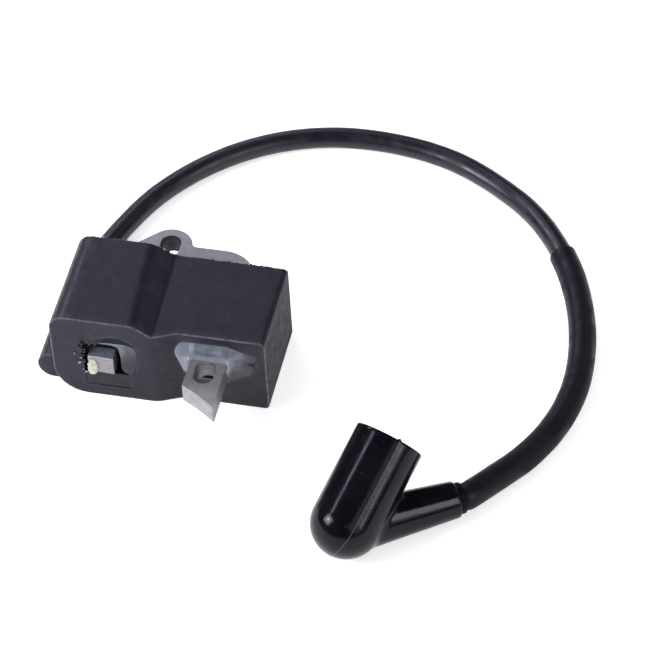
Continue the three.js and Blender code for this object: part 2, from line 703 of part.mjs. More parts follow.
const springPoints = [];
for (let i = 0; i <= SPRING_TURNS * SPRING_STEPS_PER_TURN; i += 1) {
  const angle = (i / SPRING_STEPS_PER_TURN) * Math.PI * 2;
  springPoints.push(new THREE.Vector3(
    SPRING_R * Math.cos(angle),
    SPRING_START + (i / SPRING_STEPS_PER_TURN) * SPRING_PITCH,
    SPRING_R * Math.sin(angle),
  ));
}
addPiece(
  'contact_spring',
  along(tube(springPoints, SPRING_WIRE_R, 0, 6), ELBOW, bodyAxis),
  0xc9ccd0,
  0.3,
  0.95,
);

export default part;
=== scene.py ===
"""Looks of the ignition coil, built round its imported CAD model. Lengths in this file are millimetres in the
row frame unless a name says otherwise, and MM turns them into Blender's metres."""

import json
import math

import bmesh
import bpy
import numpy as np
from mathutils import Matrix, Vector
from mathutils.geometry import delaunay_2d_cdt


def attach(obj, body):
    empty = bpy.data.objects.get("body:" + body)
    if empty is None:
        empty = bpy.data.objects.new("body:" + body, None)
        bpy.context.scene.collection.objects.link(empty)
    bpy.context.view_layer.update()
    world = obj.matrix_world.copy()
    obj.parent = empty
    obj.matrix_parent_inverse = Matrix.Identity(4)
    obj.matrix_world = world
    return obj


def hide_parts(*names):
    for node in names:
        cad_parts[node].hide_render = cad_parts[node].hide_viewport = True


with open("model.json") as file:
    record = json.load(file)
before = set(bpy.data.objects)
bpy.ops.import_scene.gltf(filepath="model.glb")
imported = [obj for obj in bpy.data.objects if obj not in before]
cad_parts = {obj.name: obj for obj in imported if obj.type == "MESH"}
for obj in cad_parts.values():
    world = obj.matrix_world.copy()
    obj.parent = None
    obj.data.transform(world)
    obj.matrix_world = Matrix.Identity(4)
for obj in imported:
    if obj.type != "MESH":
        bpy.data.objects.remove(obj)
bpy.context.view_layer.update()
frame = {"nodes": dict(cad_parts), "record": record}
MM = 0.001
MATERIALS = {}

# ------ camera

CAMERA_AT = Vector((219.0, -646.65, 726.2)) * MM
CAMERA_FORWARD = Vector((-0.179, 0.6638, -0.7262))
CAMERA_RIGHT = Vector((0.9755, 0.2155, -0.0434))
CAMERA_LENS_MM = 203.5


def make_camera():
    data = bpy.data.cameras.new("camera")
    data.sensor_width = 36.0
    data.lens = CAMERA_LENS_MM
    data.clip_start, data.clip_end = 0.05, 20.0
    cam = bpy.data.objects.new("camera", data)
    bpy.context.scene.collection.objects.link(cam)
    back = -CAMERA_FORWARD.normalized()
    right = (CAMERA_RIGHT - back * CAMERA_RIGHT.dot(back)).normalized()
    up = back.cross(right)
    turn = Matrix((right, up, back)).transposed().to_4x4()
    cam.matrix_world = Matrix.Translation(CAMERA_AT) @ turn
    bpy.context.scene.camera = cam


make_camera()

# ------ mesh helpers


def finish_mesh(name, build, slot, finish=None, smooth=35, body="coil", weighted=False):
    """A mesh object from a Build in millimetres, riding on a body, in the finish of its slot or another."""
    mesh = bpy.data.meshes.new(name)
    points = np.asarray(build.verts, float) * MM
    mesh.from_pydata([tuple(p) for p in points], [], [tuple(int(i) for i in f) for f in build.faces])
    mesh.validate()
    shape = bmesh.new()
    shape.from_mesh(mesh)
    bmesh.ops.recalc_face_normals(shape, faces=shape.faces)
    shape.to_mesh(mesh)
    shape.free()
    mesh.shade_smooth()
    mesh.set_sharp_from_angle(angle=math.radians(smooth))
    obj = bpy.data.objects.new(name, mesh)
    bpy.context.scene.collection.objects.link(obj)
    mesh.materials.append(MATERIALS[finish or slot])
    if weighted:
        mod = obj.modifiers.new("weighted", "WEIGHTED_NORMAL")
        mod.keep_sharp = True
        mod.weight = 60
    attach(obj, body)
    return obj


def set_attribute(obj, name, values):
    layer = obj.data.attributes.new(name, "FLOAT", "POINT")
    layer.data.foreach_set("value", np.asarray(values, np.float32))


class Build:
    """Collects the points and faces of one mesh, and for each point a mark: on the housing the amount of painted
    edge highlight with some wear, on the flecks whether they are pale.
    """

    def __init__(self, verts=(), faces=()):
        self.verts = list(verts)
        self.faces = list(faces)
        self.marks = [0.0] * len(self.verts)

    def add(self, points, mark=0.0):
        start = len(self.verts)
        self.verts.extend([tuple(map(float, p)) for p in points])
        self.marks.extend(np.broadcast_to(mark, len(points)))
        return list(range(start, start + len(points)))

    def bridge(self, a, b, closed=True):
        n = len(a)
        for i in range(n if closed else n - 1):
            j = (i + 1) % n
            self.faces.append((a[i], a[j], b[j], b[i]))

    def join(self, rows, closed=True, flip=False):
        for a, b in zip(rows, rows[1:]):
            self.bridge(b, a, closed) if flip else self.bridge(a, b, closed)

    def rings(self, loops):
        rows = [self.add(loop) for loop in loops]
        self.join(rows)
        return rows

    def fan(self, ring, point, flip=False):
        tip = self.add([point])[0]
        for i in range(len(ring)):
            j = (i + 1) % len(ring)
            self.faces.append((ring[j], ring[i], tip) if flip else (ring[i], ring[j], tip))


def sides(polygon):
    a = np.asarray(polygon, float)
    return zip(a, np.roll(a, -1, axis=0))


def inside_polygon(points, polygon):
    x, y = points[:, 0], points[:, 1]
    result = np.zeros(len(points), bool)
    for (x0, y0), (x1, y1) in sides(polygon):
        if y0 != y1:
            result ^= ((y0 > y) != (y1 > y)) & (x < x0 + (y - y0) * (x1 - x0) / (y1 - y0))
    return result


def polygon_distance(points, polygon):
    best = np.full(len(points), np.inf)
    for p0, p1 in sides(polygon):
        d = p1 - p0
        t = np.clip(((points - p0) @ d) / max(d @ d, 1e-12), 0, 1)
        best = np.minimum(best, np.linalg.norm(points - p0 - t[:, None] * d, axis=1))
    return best


def fill(outer, holes, spacing):
    """Triangles of a flat area with holes. Returns the inner points and triangles over outer + holes + inner."""
    loops = [np.asarray(loop, float) for loop in [outer] + holes]
    low, high = loops[0].min(0) + spacing / 2, loops[0].max(0)
    rows = enumerate(np.arange(low[1], high[1], spacing))
    grid = [(x + k % 2 * spacing / 2, y) for k, y in rows for x in np.arange(low[0], high[0], spacing)]
    grid = np.array(grid).reshape(-1, 2)
    for k, loop in enumerate(loops):
        inside = inside_polygon(grid, loop) == (k == 0)
        grid = grid[inside & (polygon_distance(grid, loop) > 0.45 * spacing)]
    edges, start = [], 0
    for loop in loops:
        n = len(loop)
        edges += [(start + i, start + (i + 1) % n) for i in range(n)]
        start += n
    out = delaunay_2d_cdt([Vector(p) for p in np.vstack(loops + [grid])], edges, [], 0, 1e-7)
    flat = np.array([tuple(v) for v in out[0]])
    source = {k: originals[0] for k, originals in enumerate(out[3]) if originals}
    triangles = []
    for f in out[2]:
        middle = flat[list(f)].mean(0)[None]
        wanted = all(inside_polygon(middle, loop)[0] == (k == 0) for k, loop in enumerate(loops))
        if wanted and all(i in source for i in f):
            triangles.append([source[i] for i in f])
    return grid, triangles


def arc_points(cx, cy, r, start, end, steps):
    angles = [math.radians(start + (end - start) * k / steps) for k in range(steps + 1)]
    return [(cx + r * math.cos(a), cy + r * math.sin(a)) for a in angles]


def rounded(corners, steps, spacing):
    """A closed outline through corners (x, z, radius), in equal steps round each and along the side after it."""
    p = np.array([c[:2] for c in corners], float)
    arcs = []
    for k, (_, _, r) in enumerate(corners):
        d0, d1 = p[k - 1] - p[k], p[(k + 1) % len(p)] - p[k]
        d0, d1 = d0 / np.linalg.norm(d0), d1 / np.linalg.norm(d1)
        half = math.acos(d0 @ d1) / 2
        centre = p[k] + (d0 + d1) / np.linalg.norm(d0 + d1) * r / math.sin(half)
        a, b = (p[k] + d * r / math.tan(half) - centre for d in (d0, d1))
        start = math.degrees(math.atan2(a[1], a[0]))
        sweep = (math.degrees(math.atan2(b[1], b[0])) - start + 180) % 360 - 180
        arcs.append(arc_points(*centre, r, start, start + sweep, steps))
    result = []
    for arc, following, count in zip(arcs, arcs[1:] + arcs[:1], spacing):
        result += arc + list(np.linspace(arc[-1], following[0], count + 2)[1:-1])
    return np.array(result)


def offset_loop(loop, distance):
    """An anticlockwise loop of points moved inwards along its own normals."""
    p = np.asarray(loop, float)
    d = np.roll(p, -1, axis=0) - p
    d /= np.maximum(np.linalg.norm(d, axis=1)[:, None], 1e-9)
    normal = np.stack([-d[:, 1], d[:, 0]], 1)
    both = normal + np.roll(normal, 1, axis=0)
    both /= np.maximum((both * both).sum(1)[:, None] / 2, 0.5)
    return p + both * distance


def inset(corners, distance):
    """The corners of an anticlockwise outline moved inwards, with their radii changed to match."""
    p = np.array([c[:2] for c in corners], float)
    after = np.roll(p, -1, axis=0) - p
    before = np.roll(after, 1, axis=0)
    turn = np.sign(before[:, 0] * after[:, 1] - before[:, 1] * after[:, 0])
    radii = np.maximum([c[2] for c in corners] - turn * distance, 0.15)
    return [(x, z, r) for (x, z), r in zip(offset_loop(p, distance), radii)]


def evenly(line, count, closed=False):
    """Points at even steps along a line."""
    along = np.concatenate([[0], np.cumsum(np.linalg.norm(np.diff(line, axis=0), axis=1))])
    at = np.linspace(0, along[-1], count, endpoint=not closed)
    return np.stack([np.interp(at, along, column) for column in line.T], 1)


def closed_curve(points, count):
    """A smooth closed outline through points, evenly stepped."""
    p = np.asarray(points, float)
    n = len(p)
    line = []
    for k in range(n):
        a, b, c, d = (p[(k + m) % n] for m in (-1, 0, 1, 2))
        for t in np.linspace(0, 1, 12, endpoint=False):
            bend = (2 * a - 5 * b + 4 * c - d) * t ** 2 + (3 * b - 3 * c + d - a) * t ** 3
            line.append(0.5 * (2 * b + (c - a) * t + bend))
    return evenly(np.array(line + [line[0]]), count, closed=True)


def smooth_step(value, low, high):
    t = np.clip((value - low) / (high - low), 0, 1)
    return t * t * (3 - 2 * t)


def quarter_round(count):
    """Steps round a bevel from a face to a side, as the shares inwards and backwards."""
    return [(1 - math.sin(a), 1 - math.cos(a)) for a in np.linspace(0, math.pi / 2, count)]


def standing(flat, y):
    """Points (x, y, z) from an outline in X and Z, with one y or one for each point."""
    return np.stack([flat[:, 0], y * np.ones(len(flat)), flat[:, 1]], 1)


def plate(outer, holes, low, high, bevel, spacing=2.5):
    """A flat plate in X and Y with bevelled edges. Loops are anticlockwise, holes too."""
    build = Build()
    heights = [(bevel, low), (bevel * 0.3, low + bevel * 0.3), (0, low + bevel)]
    heights += [(0, high - bevel), (bevel * 0.3, high - bevel * 0.3), (bevel, high)]
    ends = []
    for loop, sign in [(outer, 1)] + [(h, -1) for h in holes]:
        rows = [build.add([(x, y, z) for x, y in offset_loop(loop, sign * amount)]) for amount, z in heights]
        build.join(rows, flip=sign < 0)
        ends.append((rows[0], rows[-1]))
    flat = [offset_loop(outer, bevel)] + [offset_loop(h, -bevel) for h in holes]
    grid, triangles = fill(flat[0], flat[1:], spacing)
    for which, z in ((0, low), (1, high)):
        index = [i for e in ends for i in e[which]] + build.add([(x, y, z) for x, y in grid])
        for a, b, c in triangles:
            build.faces.append((index[c], index[b], index[a]) if which == 0 else (index[a], index[b], index[c]))
    return build


def slab(outline, holes, front, back, spacing):
    """A closed piece over an outline in X and Z. front and back give y from arrays of x and z."""
    build = Build()
    grid, triangles = fill(outline, holes, spacing)
    flat = np.vstack([outline] + holes + [grid])
    layers = [build.add(standing(flat, y_of(flat[:, 0], flat[:, 1]))) for y_of in (front, back)]
    for a, b, c in triangles:
        build.faces.append((layers[0][a], layers[0][b], layers[0][c]))
        build.faces.append((layers[1][c], layers[1][b], layers[1][a]))
    start = 0
    for k, loop in enumerate([outline] + holes):
        end = start + len(loop)
        build.join([layer[start:end] for layer in layers], flip=k == 0)
        start = end
    return build


def frames_along(points):
    """Unit tangents and two unit normals along a line of points, without twist."""
    t = np.gradient(np.asarray(points, float), axis=0)
    t /= np.linalg.norm(t, axis=1)[:, None]
    normal = np.cross(t[0], (0, 0, 1))
    normals = []
    for tangent in t:
        normal = normal - tangent * (normal @ tangent)
        normal /= np.linalg.norm(normal)
        normals.append(normal)
    return t, np.array(normals), np.cross(t, normals)


def tube_rings(points, radii, sides):
    _, n, b = frames_along(points)
    angles = [2 * math.pi * k / sides for k in range(sides)]
    return [
        [p + r * (math.cos(a) * nn + math.sin(a) * bb) for a in angles]
        for p, r, nn, bb in zip(np.asarray(points, float), radii, n, b)
    ]


def round_bar(points, radii, sides):
    """A bar along a line of points, closed at both ends."""
    build = Build()
    rows = build.rings(tube_rings(points, radii, sides))
    build.fan(rows[0], points[0], flip=True)
    build.fan(rows[-1], points[-1])
    return build


def surface_net(field, low, high, step):
    """The zero surface of a distance field as a Build, with every point moved onto it."""
    low, high = np.array(low), np.array(high)
    count = np.ceil((high - low) / step).astype(int) + 1
    axes = [low[i] + step * np.arange(count[i]) for i in range(3)]
    value = field(np.stack(np.meshgrid(*axes, indexing="ij"), -1))
    inner = value < 0
    cells = tuple(count - 1)
    total, hits = np.zeros(cells + (3,)), np.zeros(cells)

    def part_of(array, offset):
        return array[tuple(slice(o, o + c) for o, c in zip(offset, cells))]

    for a in np.ndindex(2, 2, 2):
        for axis in range(3):
            if a[axis]:
                continue
            b = tuple(v + (m == axis) for m, v in enumerate(a))
            va, vb = part_of(value, a), part_of(value, b)
            cross = part_of(inner, a) != part_of(inner, b)
            t = np.where(cross, va / np.where(cross, va - vb, 1), 0)
            for m in range(3):
                total[..., m] += cross * (a[m] + (t if m == axis else 0))
            hits += cross
    active = hits > 0
    index = np.full(cells, -1)
    index[active] = np.arange(active.sum())
    verts = low + step * (np.argwhere(active) + total[active] / hits[active][:, None])
    faces = []
    for axis in range(3):
        u, v = [m for m in range(3) if m != axis]
        before = inner.take(range(0, count[axis] - 1), axis)
        after = inner.take(range(1, count[axis]), axis)
        for cell in np.argwhere(before != after):
            if not (0 < cell[u] < count[u] - 1 and 0 < cell[v] < count[v] - 1):
                continue
            ring = []
            for du, dv in ((-1, -1), (0, -1), (0, 0), (-1, 0)):
                c = cell.copy()
                c[[u, v]] += (du, dv)
                ring.append(index[tuple(c)])
            faces.append(ring[::-1] if before[tuple(cell)] == (axis == 1) else ring)
    for _ in range(4):
        slope = [(field(verts + d) - field(verts - d)) / 0.02 for d in np.eye(3) * 0.01]
        grad = np.stack(slope, -1)
        size = np.maximum((grad * grad).sum(-1), 0.25)
        verts = verts - np.clip(field(verts) / size, -step, step)[:, None] * grad
    return Build(verts, faces)


# ------ where the boot lies

ELBOW = np.array((62.65, -58.5, 9.36))
ARM_ROOT = np.array((62.7, -58.4, 7.0))
ARM_END = np.array((87.9, -42.0, 5.1))
ARM_AXIS = (ARM_END - ARM_ROOT) / np.linalg.norm(ARM_END - ARM_ROOT)
ARM_LENGTH = np.linalg.norm(ARM_END - ARM_ROOT)
BOOT_TURN, BOOT_TILT = math.radians(21.5), math.radians(30)
BODY_AXIS = np.array((
    math.sin(BOOT_TURN) * math.cos(BOOT_TILT), math.cos(BOOT_TURN) * math.cos(BOOT_TILT), math.sin(BOOT_TILT),
))
LINE_OUT = np.cross(ARM_AXIS, BODY_AXIS)
LINE_OUT /= np.linalg.norm(LINE_OUT)
LINE_SIDE = np.cross(BODY_AXIS, LINE_OUT)

# ------ materials


class Surface:
    """A Principled material with small helpers for its nodes. Sizes of patterns are in millimetres."""

    def __init__(self, name, roughness, metallic=0.0, **sockets):
        self.material = MATERIALS[name] = bpy.data.materials.new(name)
        self.material.use_nodes = True
        self.tree = self.material.node_tree
        self.shader = next(n for n in self.tree.nodes if n.type == "BSDF_PRINCIPLED")
        for key, value in {"Roughness": roughness, "Metallic": metallic, **sockets}.items():
            self.shader.inputs[key.replace("_", " ")].default_value = value
        self.place = self.node("ShaderNodeTexCoord", {}, "Object")

    def link(self, value, key):
        self.tree.links.new(value, self.shader.inputs[key])

    def node(self, kind, inputs, output=0, **values):
        """One output of a new node, whose inputs are linked to other outputs or set."""
        n = self.tree.nodes.new(kind)
        for key, value in values.items():
            setattr(n, key, value)
        for key, value in inputs.items():
            if isinstance(value, bpy.types.NodeSocket):
                self.tree.links.new(value, n.inputs[key])
            else:
                n.inputs[key].default_value = value
        return n.outputs[output]

    def stretched(self, x, y, z):
        return self.node("ShaderNodeMapping", {"Vector": self.place, "Scale": (x, y, z)}, "Vector")

    def noise(self, size, detail=4.0, distortion=0.0, place=None):
        inputs = {"Vector": place or self.place, "Scale": 1000.0 / size, "Detail": detail, "Distortion": distortion}
        return self.node("ShaderNodeTexNoise", inputs, "Fac")

    def cells(self, size):
        return self.node("ShaderNodeTexVoronoi", {"Vector": self.place, "Scale": 1000.0 / size}, "Distance")

    def attribute(self, name):
        return self.node("ShaderNodeAttribute", {}, "Fac", attribute_name=name)

    def plane(self, origin, normal):
        """The distance, in metres, from the plane through origin."""
        inputs = {0: self.place, 1: tuple(v * MM for v in origin)}
        away = self.node("ShaderNodeVectorMath", inputs, operation="SUBTRACT")
        return self.node("ShaderNodeVectorMath", {0: away, 1: tuple(normal)}, "Value", operation="DOT_PRODUCT")

    def ramp(self, value, low, high, start=0.0, end=1.0):
        inputs = {"Value": value, "From Min": low, "From Max": high, "To Min": start, "To Max": end}
        return self.node("ShaderNodeMapRange", inputs, "Result", interpolation_type="SMOOTHSTEP")

    def maths(self, kind, a, b=0.0):
        return self.node("ShaderNodeMath", {0: a, 1: b}, operation=kind)

    def mix(self, factor, a, b):
        a, b = ((*v, 1.0) if isinstance(v, tuple) else v for v in (a, b))
        return self.node("ShaderNodeMix", {0: factor, 6: a, 7: b}, 2, data_type="RGBA")

    def colour(self, value):
        self.link(value, "Base Color")

    def rough(self, value):
        self.link(value, "Roughness")

    def bump(self, *heights):
        """Each height is (value, depth in millimetres)."""
        last = {}
        for value, depth in heights:
            inputs = {"Strength": 1.0, "Distance": depth * MM, "Height": value, **last}
            last = {"Normal": self.node("ShaderNodeBump", inputs, "Normal")}
        self.link(last["Normal"], "Normal")


SHADED = (0.004, 0.004, 0.006)
DUST = (0.16, 0.15, 0.14)
SEAM_TONE = (0.055, 0.055, 0.062)
CORE_SHADED = (0.035, 0.032, 0.031)


def moulded_plastic(name, wear_and_highlight, roughness=0.43):
    """Black moulded plastic, with scuffs, edges lightened by painted highlight and some wear, and painted shade
    where the shade attribute says.
    """
    s = Surface(name, roughness, IOR=1.5, Specular_IOR_Level=0.27, Specular_Tint=(0.86, 0.84, 1.0, 1.0))
    base = s.mix(s.ramp(s.noise(5.0), 0.35, 0.65), (0.0070, 0.0064, 0.0115), (0.0095, 0.0088, 0.0145))
    scuffs = s.ramp(s.noise(1.6, 6.0, 0.6, s.stretched(1, 0.25, 1)), 0.64, 0.80, 0.0, 0.22)
    base = s.mix(scuffs, base, wear_and_highlight)
    # Painted highlight with some wear along the edge bevels, where the edge attribute says, broken up by noise.
    edge = s.maths("MULTIPLY", s.attribute("edge"), s.ramp(s.noise(1.4, 5.0), 0.3, 0.6, 0.35, 1.0))
    s.colour(s.mix(s.attribute("shade"), s.mix(edge, base, wear_and_highlight), SHADED))
    smear = s.ramp(s.noise(2.2, 5.0), 0.3, 0.7, roughness - 0.07, roughness + 0.07)
    s.rough(s.maths("ADD", smear, s.maths("MULTIPLY", s.attribute("shade"), 0.35)))
    s.bump((s.noise(0.22, 3.0), 0.018), (s.noise(3.5, 3.0), 0.036))


def cast_resin(name, pale, deep, roughness, gloss):
    """Clear casting resin, paler and cloudier where the pale attribute of a mesh says. That attribute also holds
    painted light: a highlight on the leg pool's bead, a shadow under its upper lip, and glints on the torn crumbs.
    """
    tint = (0.88, 0.87, 1.0, 1.0)
    s = Surface(name, roughness, IOR=1.54, Coat_Roughness=0.06, Specular_IOR_Level=gloss, Specular_Tint=tint)
    cloudy = s.ramp(s.noise(3.0, 3.0, 0.4), 0.3, 0.7, 0.82, 1.18)
    share = s.ramp(s.maths("MULTIPLY", s.attribute("pale"), cloudy), 0.0, 1.0)
    s.colour(s.mix(share, deep, pale))
    s.link(s.ramp(share, 0.0, 0.6, 0.04, 0.35), "Coat Weight")
    s.rough(s.ramp(s.noise(0.8, 4.0), 0.35, 0.75, roughness * 0.7, roughness * 1.6))
    s.bump((s.noise(0.7, 2.0), 0.010), (s.noise(4.0, 2.0), 0.05))


def steel(name, cut, sheet, roughness):
    """Laminations: the rolled sheet faces up and down are darker than the ground edges."""
    s = Surface(name, roughness, metallic=0.8)
    upward = s.node("ShaderNodeSeparateXYZ", {0: s.place.node.outputs["Normal"]}, "Z")
    flat = s.ramp(s.maths("ABSOLUTE", upward), 0.6, 0.9)
    tone = s.mix(flat, cut, sheet)
    dull = s.mix(flat, tuple(v * 0.80 for v in cut), tuple(v * 0.84 for v in sheet))
    base = s.mix(s.ramp(s.noise(2.5, 6.0), 0.3, 0.7), dull, tone)
    stain = s.ramp(s.noise(6.0, 5.0, 0.8), 0.60, 0.78, 0.0, 0.20)
    base = s.mix(stain, base, tuple(v * t for v, t in zip(sheet, (0.72, 0.66, 0.58))))
    s.colour(s.mix(s.attribute("shade"), base, CORE_SHADED))
    s.link(s.ramp(flat, 0.0, 1.0, 0.8, 0.35), "Metallic")
    s.rough(s.ramp(s.noise(0.6, 6.0), 0.3, 0.7, roughness - 0.06, roughness + 0.08))
    layers = s.noise(0.5, 2.0, 0.0, s.stretched(0.06, 0.06, 1.0))
    s.bump((layers, 0.03), (s.noise(0.25, 3.0), 0.012))


def rubber(name, dark, light, roughness, specks, grain, gloss, seam=None):
    """Black rubber with specks of dust. seam is a point on a mould seam, and the axes across it and outwards."""
    s = Surface(name, roughness, IOR=1.5, Specular_IOR_Level=gloss, Specular_Tint=(0.89, 0.88, 1.0, 1.0))
    base = s.mix(s.ramp(s.noise(7.0), 0.3, 0.7), dark, light)
    dots = s.maths("MULTIPLY", s.ramp(s.cells(1.1), 0.02, 0.10, 1.0, 0.0), s.ramp(s.noise(4.0), 0.5, 0.62))
    tone = s.mix(s.maths("MULTIPLY", dots, specks), base, DUST)
    if seam:
        origin, across, outward = seam
        near = s.ramp(s.maths("ABSOLUTE", s.plane(origin, across)), 0.07 * MM, 0.15 * MM, 1.0, 0.0)
        line = s.maths("MULTIPLY", near, s.ramp(s.plane(origin, outward), 2.0 * MM, 4.0 * MM))
        tone = s.mix(line, tone, SEAM_TONE)
    s.colour(tone)
    smear = s.ramp(s.noise(6.0, 5.0, 1.0), 0.35, 0.75, roughness * 0.8, roughness * 1.5)
    s.rough(s.maths("ADD", smear, s.maths("MULTIPLY", dots, 0.3)))
    s.bump((s.noise(grain, 3.0), 0.008), (s.noise(9.0, 2.0), 0.06))


def small_part(name, tone, roughness, metallic=0.0, grain=0.5):
    s = Surface(name, roughness, metallic=metallic)
    s.colour(s.mix(s.ramp(s.noise(grain * 4, 4.0), 0.3, 0.7), tuple(v * 0.7 for v in tone), tone))
    s.rough(s.ramp(s.noise(grain, 4.0), 0.3, 0.7, roughness - 0.06, roughness + 0.08))
    s.bump((s.noise(grain, 3.0), 0.015))


def wound_wire(name, pitch=0.5):
    s = Surface(name, 0.35, metallic=0.7)
    inputs = {"Scale": 1000.0 / pitch, "Vector": s.place}
    turns = s.node("ShaderNodeTexWave", inputs, "Fac", wave_type="BANDS", bands_direction="Y")
    s.colour(s.mix(turns, (0.20, 0.07, 0.03), (0.50, 0.20, 0.09)))
    s.rough(s.ramp(s.noise(1.0), 0.3, 0.7, 0.28, 0.45))
    s.bump((turns, 0.05))


def cured_glue(name):
    s = Surface(name, 0.38, IOR=1.48, Subsurface_Weight=0.15, Subsurface_Scale=0.0008)
    s.colour(s.mix(s.ramp(s.noise(1.2, 4.0, 0.5), 0.3, 0.7), (0.36, 0.34, 0.27), (0.52, 0.50, 0.43)))
    s.rough(s.ramp(s.noise(0.5, 4.0), 0.3, 0.7, 0.28, 0.5))
    s.bump((s.noise(0.9, 3.0), 0.06))


moulded_plastic("housing_plastic", (0.105, 0.10, 0.13))
moulded_plastic("bobbin_plastic", (0.06, 0.06, 0.07))
cast_resin("clear_resin", (0.20, 0.225, 0.275), (0.016, 0.016, 0.022), 0.16, 0.42)
cast_resin("lens_resin", (0.105, 0.120, 0.160), (0.010, 0.010, 0.014), 0.2, 0.36)
cast_resin("potting_resin", (0.055, 0.058, 0.070), (0.030, 0.031, 0.038), 0.22, 0.40)
cast_resin("torn_resin", (0.30, 0.30, 0.34), (0.004, 0.004, 0.005), 0.22, 0.40)
steel("lamination_steel", (0.36, 0.35, 0.365), (0.215, 0.213, 0.227), 0.42)
rubber("lead_insulation", (0.0070, 0.0065, 0.0105), (0.0100, 0.0095, 0.0145), 0.35, 0.25, 0.35, 0.38)
rubber("sleeve_plastic", (0.0060, 0.0057, 0.0090), (0.0085, 0.0080, 0.0120), 0.45, 0.35, 0.28, 0.12)
rubber(
    "boot_rubber", (0.0025, 0.0025, 0.0040), (0.0045, 0.0045, 0.0065), 0.14, 1.0, 0.9, 0.17,
    seam=(ELBOW, LINE_SIDE, LINE_OUT),
)
rubber("ring_rubber", (0.0012, 0.0012, 0.0014), (0.0022, 0.0022, 0.0024), 0.5, 0.0, 0.3, 0.08)
small_part("tinned_metal", (0.62, 0.62, 0.64), 0.3, 0.95, 0.3)
small_part("secondary_bobbin_plastic", (0.68, 0.64, 0.54), 0.5)
small_part("board_laminate", (0.03, 0.15, 0.06), 0.5, 0.0, 0.3)
small_part("capacitor_case", (0.46, 0.06, 0.03), 0.35)
small_part("component_black", (0.015, 0.015, 0.016), 0.45)
small_part("resistor_body", (0.58, 0.46, 0.25), 0.45)
wound_wire("copper_wire")
cured_glue("glue")


def dress_cad_nodes():
    """Gives the CAD nodes that stay visible the finish of their own slot."""
    for entry in frame["record"]["subparts"]:
        node = frame["nodes"].get(entry["node"])
        finish = MATERIALS.get(entry["material_slot"])
        if node is None or finish is None:
            continue
        for slot in node.material_slots:
            slot.material = finish
        node.data.shade_smooth()
        node.data.set_sharp_from_angle(angle=math.radians(30))


# ------ lead, sleeve and ring

LEAD_X, LEAD_Z = -28.2, 3.75
ROUTE = [
    (LEAD_X, 10.5, LEAD_Z), (-28.2, 16, 3.6), (-27.6, 24, 3.1), (-24, 37.5, 3), (-16.2, 55.5, 3),
    (-4.2, 70.5, 3), (10.5, 81, 3), (27, 86.5, 3), (45, 87, 3), (62.8, 83, 3),
    (79.5, 73.5, 3.1), (91.2, 62.8, 3.7), (101.2, 48, 3.75), (107.8, 31.5, 3.75), (111, 15.5, 3.75),
    (111.2, 1.5, 3.75), (108.4, -11.5, 3.75), (103, -23, 3.75), (95.8, -33, 4.1),
]
ROUTE_STEP, END_STEP = 1.2, 1.5
LEAD_R, LEAD_START_Y, LEAD_END_IN_ARM = 2.97, -8.5, 9.0
SLEEVE_R, SLEEVE_INNER_R, SLEEVE_LIP = 3.7, 3.09, 0.45
SLEEVE_START_SHARE = 0.65617
SLEEVE_END = ARM_LENGTH + 1.8
RING_R, RING_TUBE_R, RING_GAP = 4.2, 0.45, 0.03
UNEVEN = 0.05


def on_arm(distance):
    return ARM_ROOT + ARM_AXIS * distance


def smooth_route(points, per_span=24):
    """A centripetal Catmull-Rom curve through points, in even steps."""
    p = [np.array(q, float) for q in points]
    p = [2 * p[0] - p[1]] + p + [2 * p[-1] - p[-2]]
    line = []
    for k in range(1, len(p) - 2):
        q = p[k - 1:k + 3]
        t = [0.0]
        for a, b in zip(q, q[1:]):
            t.append(t[-1] + np.linalg.norm(b - a) ** 0.5)
        for s in np.linspace(t[1], t[2], per_span, endpoint=False):
            level = q
            for reach, first in ((1, 0), (2, 0), (1, 1)):
                ends = [(t[first + i], t[first + i + reach]) for i in range(len(level) - 1)]
                level = [
                    (high - s) / (high - low) * a + (s - low) / (high - low) * b
                    for (low, high), a, b in zip(ends, level, level[1:])
                ]
            line.append(level[0])
    line = np.array(line + [p[-2]])
    length = np.linalg.norm(np.diff(line, axis=0), axis=1).sum()
    return evenly(line, int(round(length / ROUTE_STEP)) + 1)


def uneven(rng, count, width):
    """A smooth random line of values between -1 and 1."""
    soft = np.convolve(rng.normal(0, 1, count + width - 1), np.ones(width) / width, "valid")
    return soft / abs(soft).max()


def make_lead(free, rng):
    head = np.array([(LEAD_X, y, LEAD_Z) for y in np.arange(LEAD_START_Y, ROUTE[0][1] - 0.5, END_STEP)])
    tail = np.array([on_arm(d) for d in np.arange(SLEEVE_END, LEAD_END_IN_ARM - 0.1, -END_STEP)])
    line = np.vstack([head, free, tail])
    build = round_bar(line, LEAD_R + UNEVEN * uneven(rng, len(line), 21), 28)
    lead = finish_mesh("lead_insulated", build, "lead_insulation")
    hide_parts("lead")
    return lead, line


def make_sleeve(free, rng):
    start = int(round(SLEEVE_START_SHARE * (len(free) - 1)))
    line = np.vstack([free[start:], [on_arm(SLEEVE_END)]])
    tangents, _, _ = frames_along(line)
    profile = [
        (line[0] - tangents[0] * SLEEVE_LIP * math.cos(a), SLEEVE_R - SLEEVE_LIP * (1 - math.sin(a)))
        for a in np.linspace(0, math.pi / 2, 6)
    ]
    profile += [(p, SLEEVE_R) for p in line[1:-1]]
    for before, less in ((0.3, 0.0), (0.1, 0.1), (0.0, 0.3)):
        profile.append((line[-1] - tangents[-1] * before, SLEEVE_R - less))
    points, radii = zip(*profile)
    sides = 32
    build = Build()
    outer = build.rings(tube_rings(points, radii + UNEVEN * uneven(rng, len(radii), 31), sides))
    inner = [build.add(loop) for loop in tube_rings(points, np.full(len(points), SLEEVE_INNER_R), sides)]
    build.join(inner, flip=True)
    build.bridge(inner[0], outer[0])
    build.bridge(outer[-1], inner[-1])
    sleeve = finish_mesh("sleeve_tube", build, "sleeve_plastic")
    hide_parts("lead_sleeve")
    return sleeve


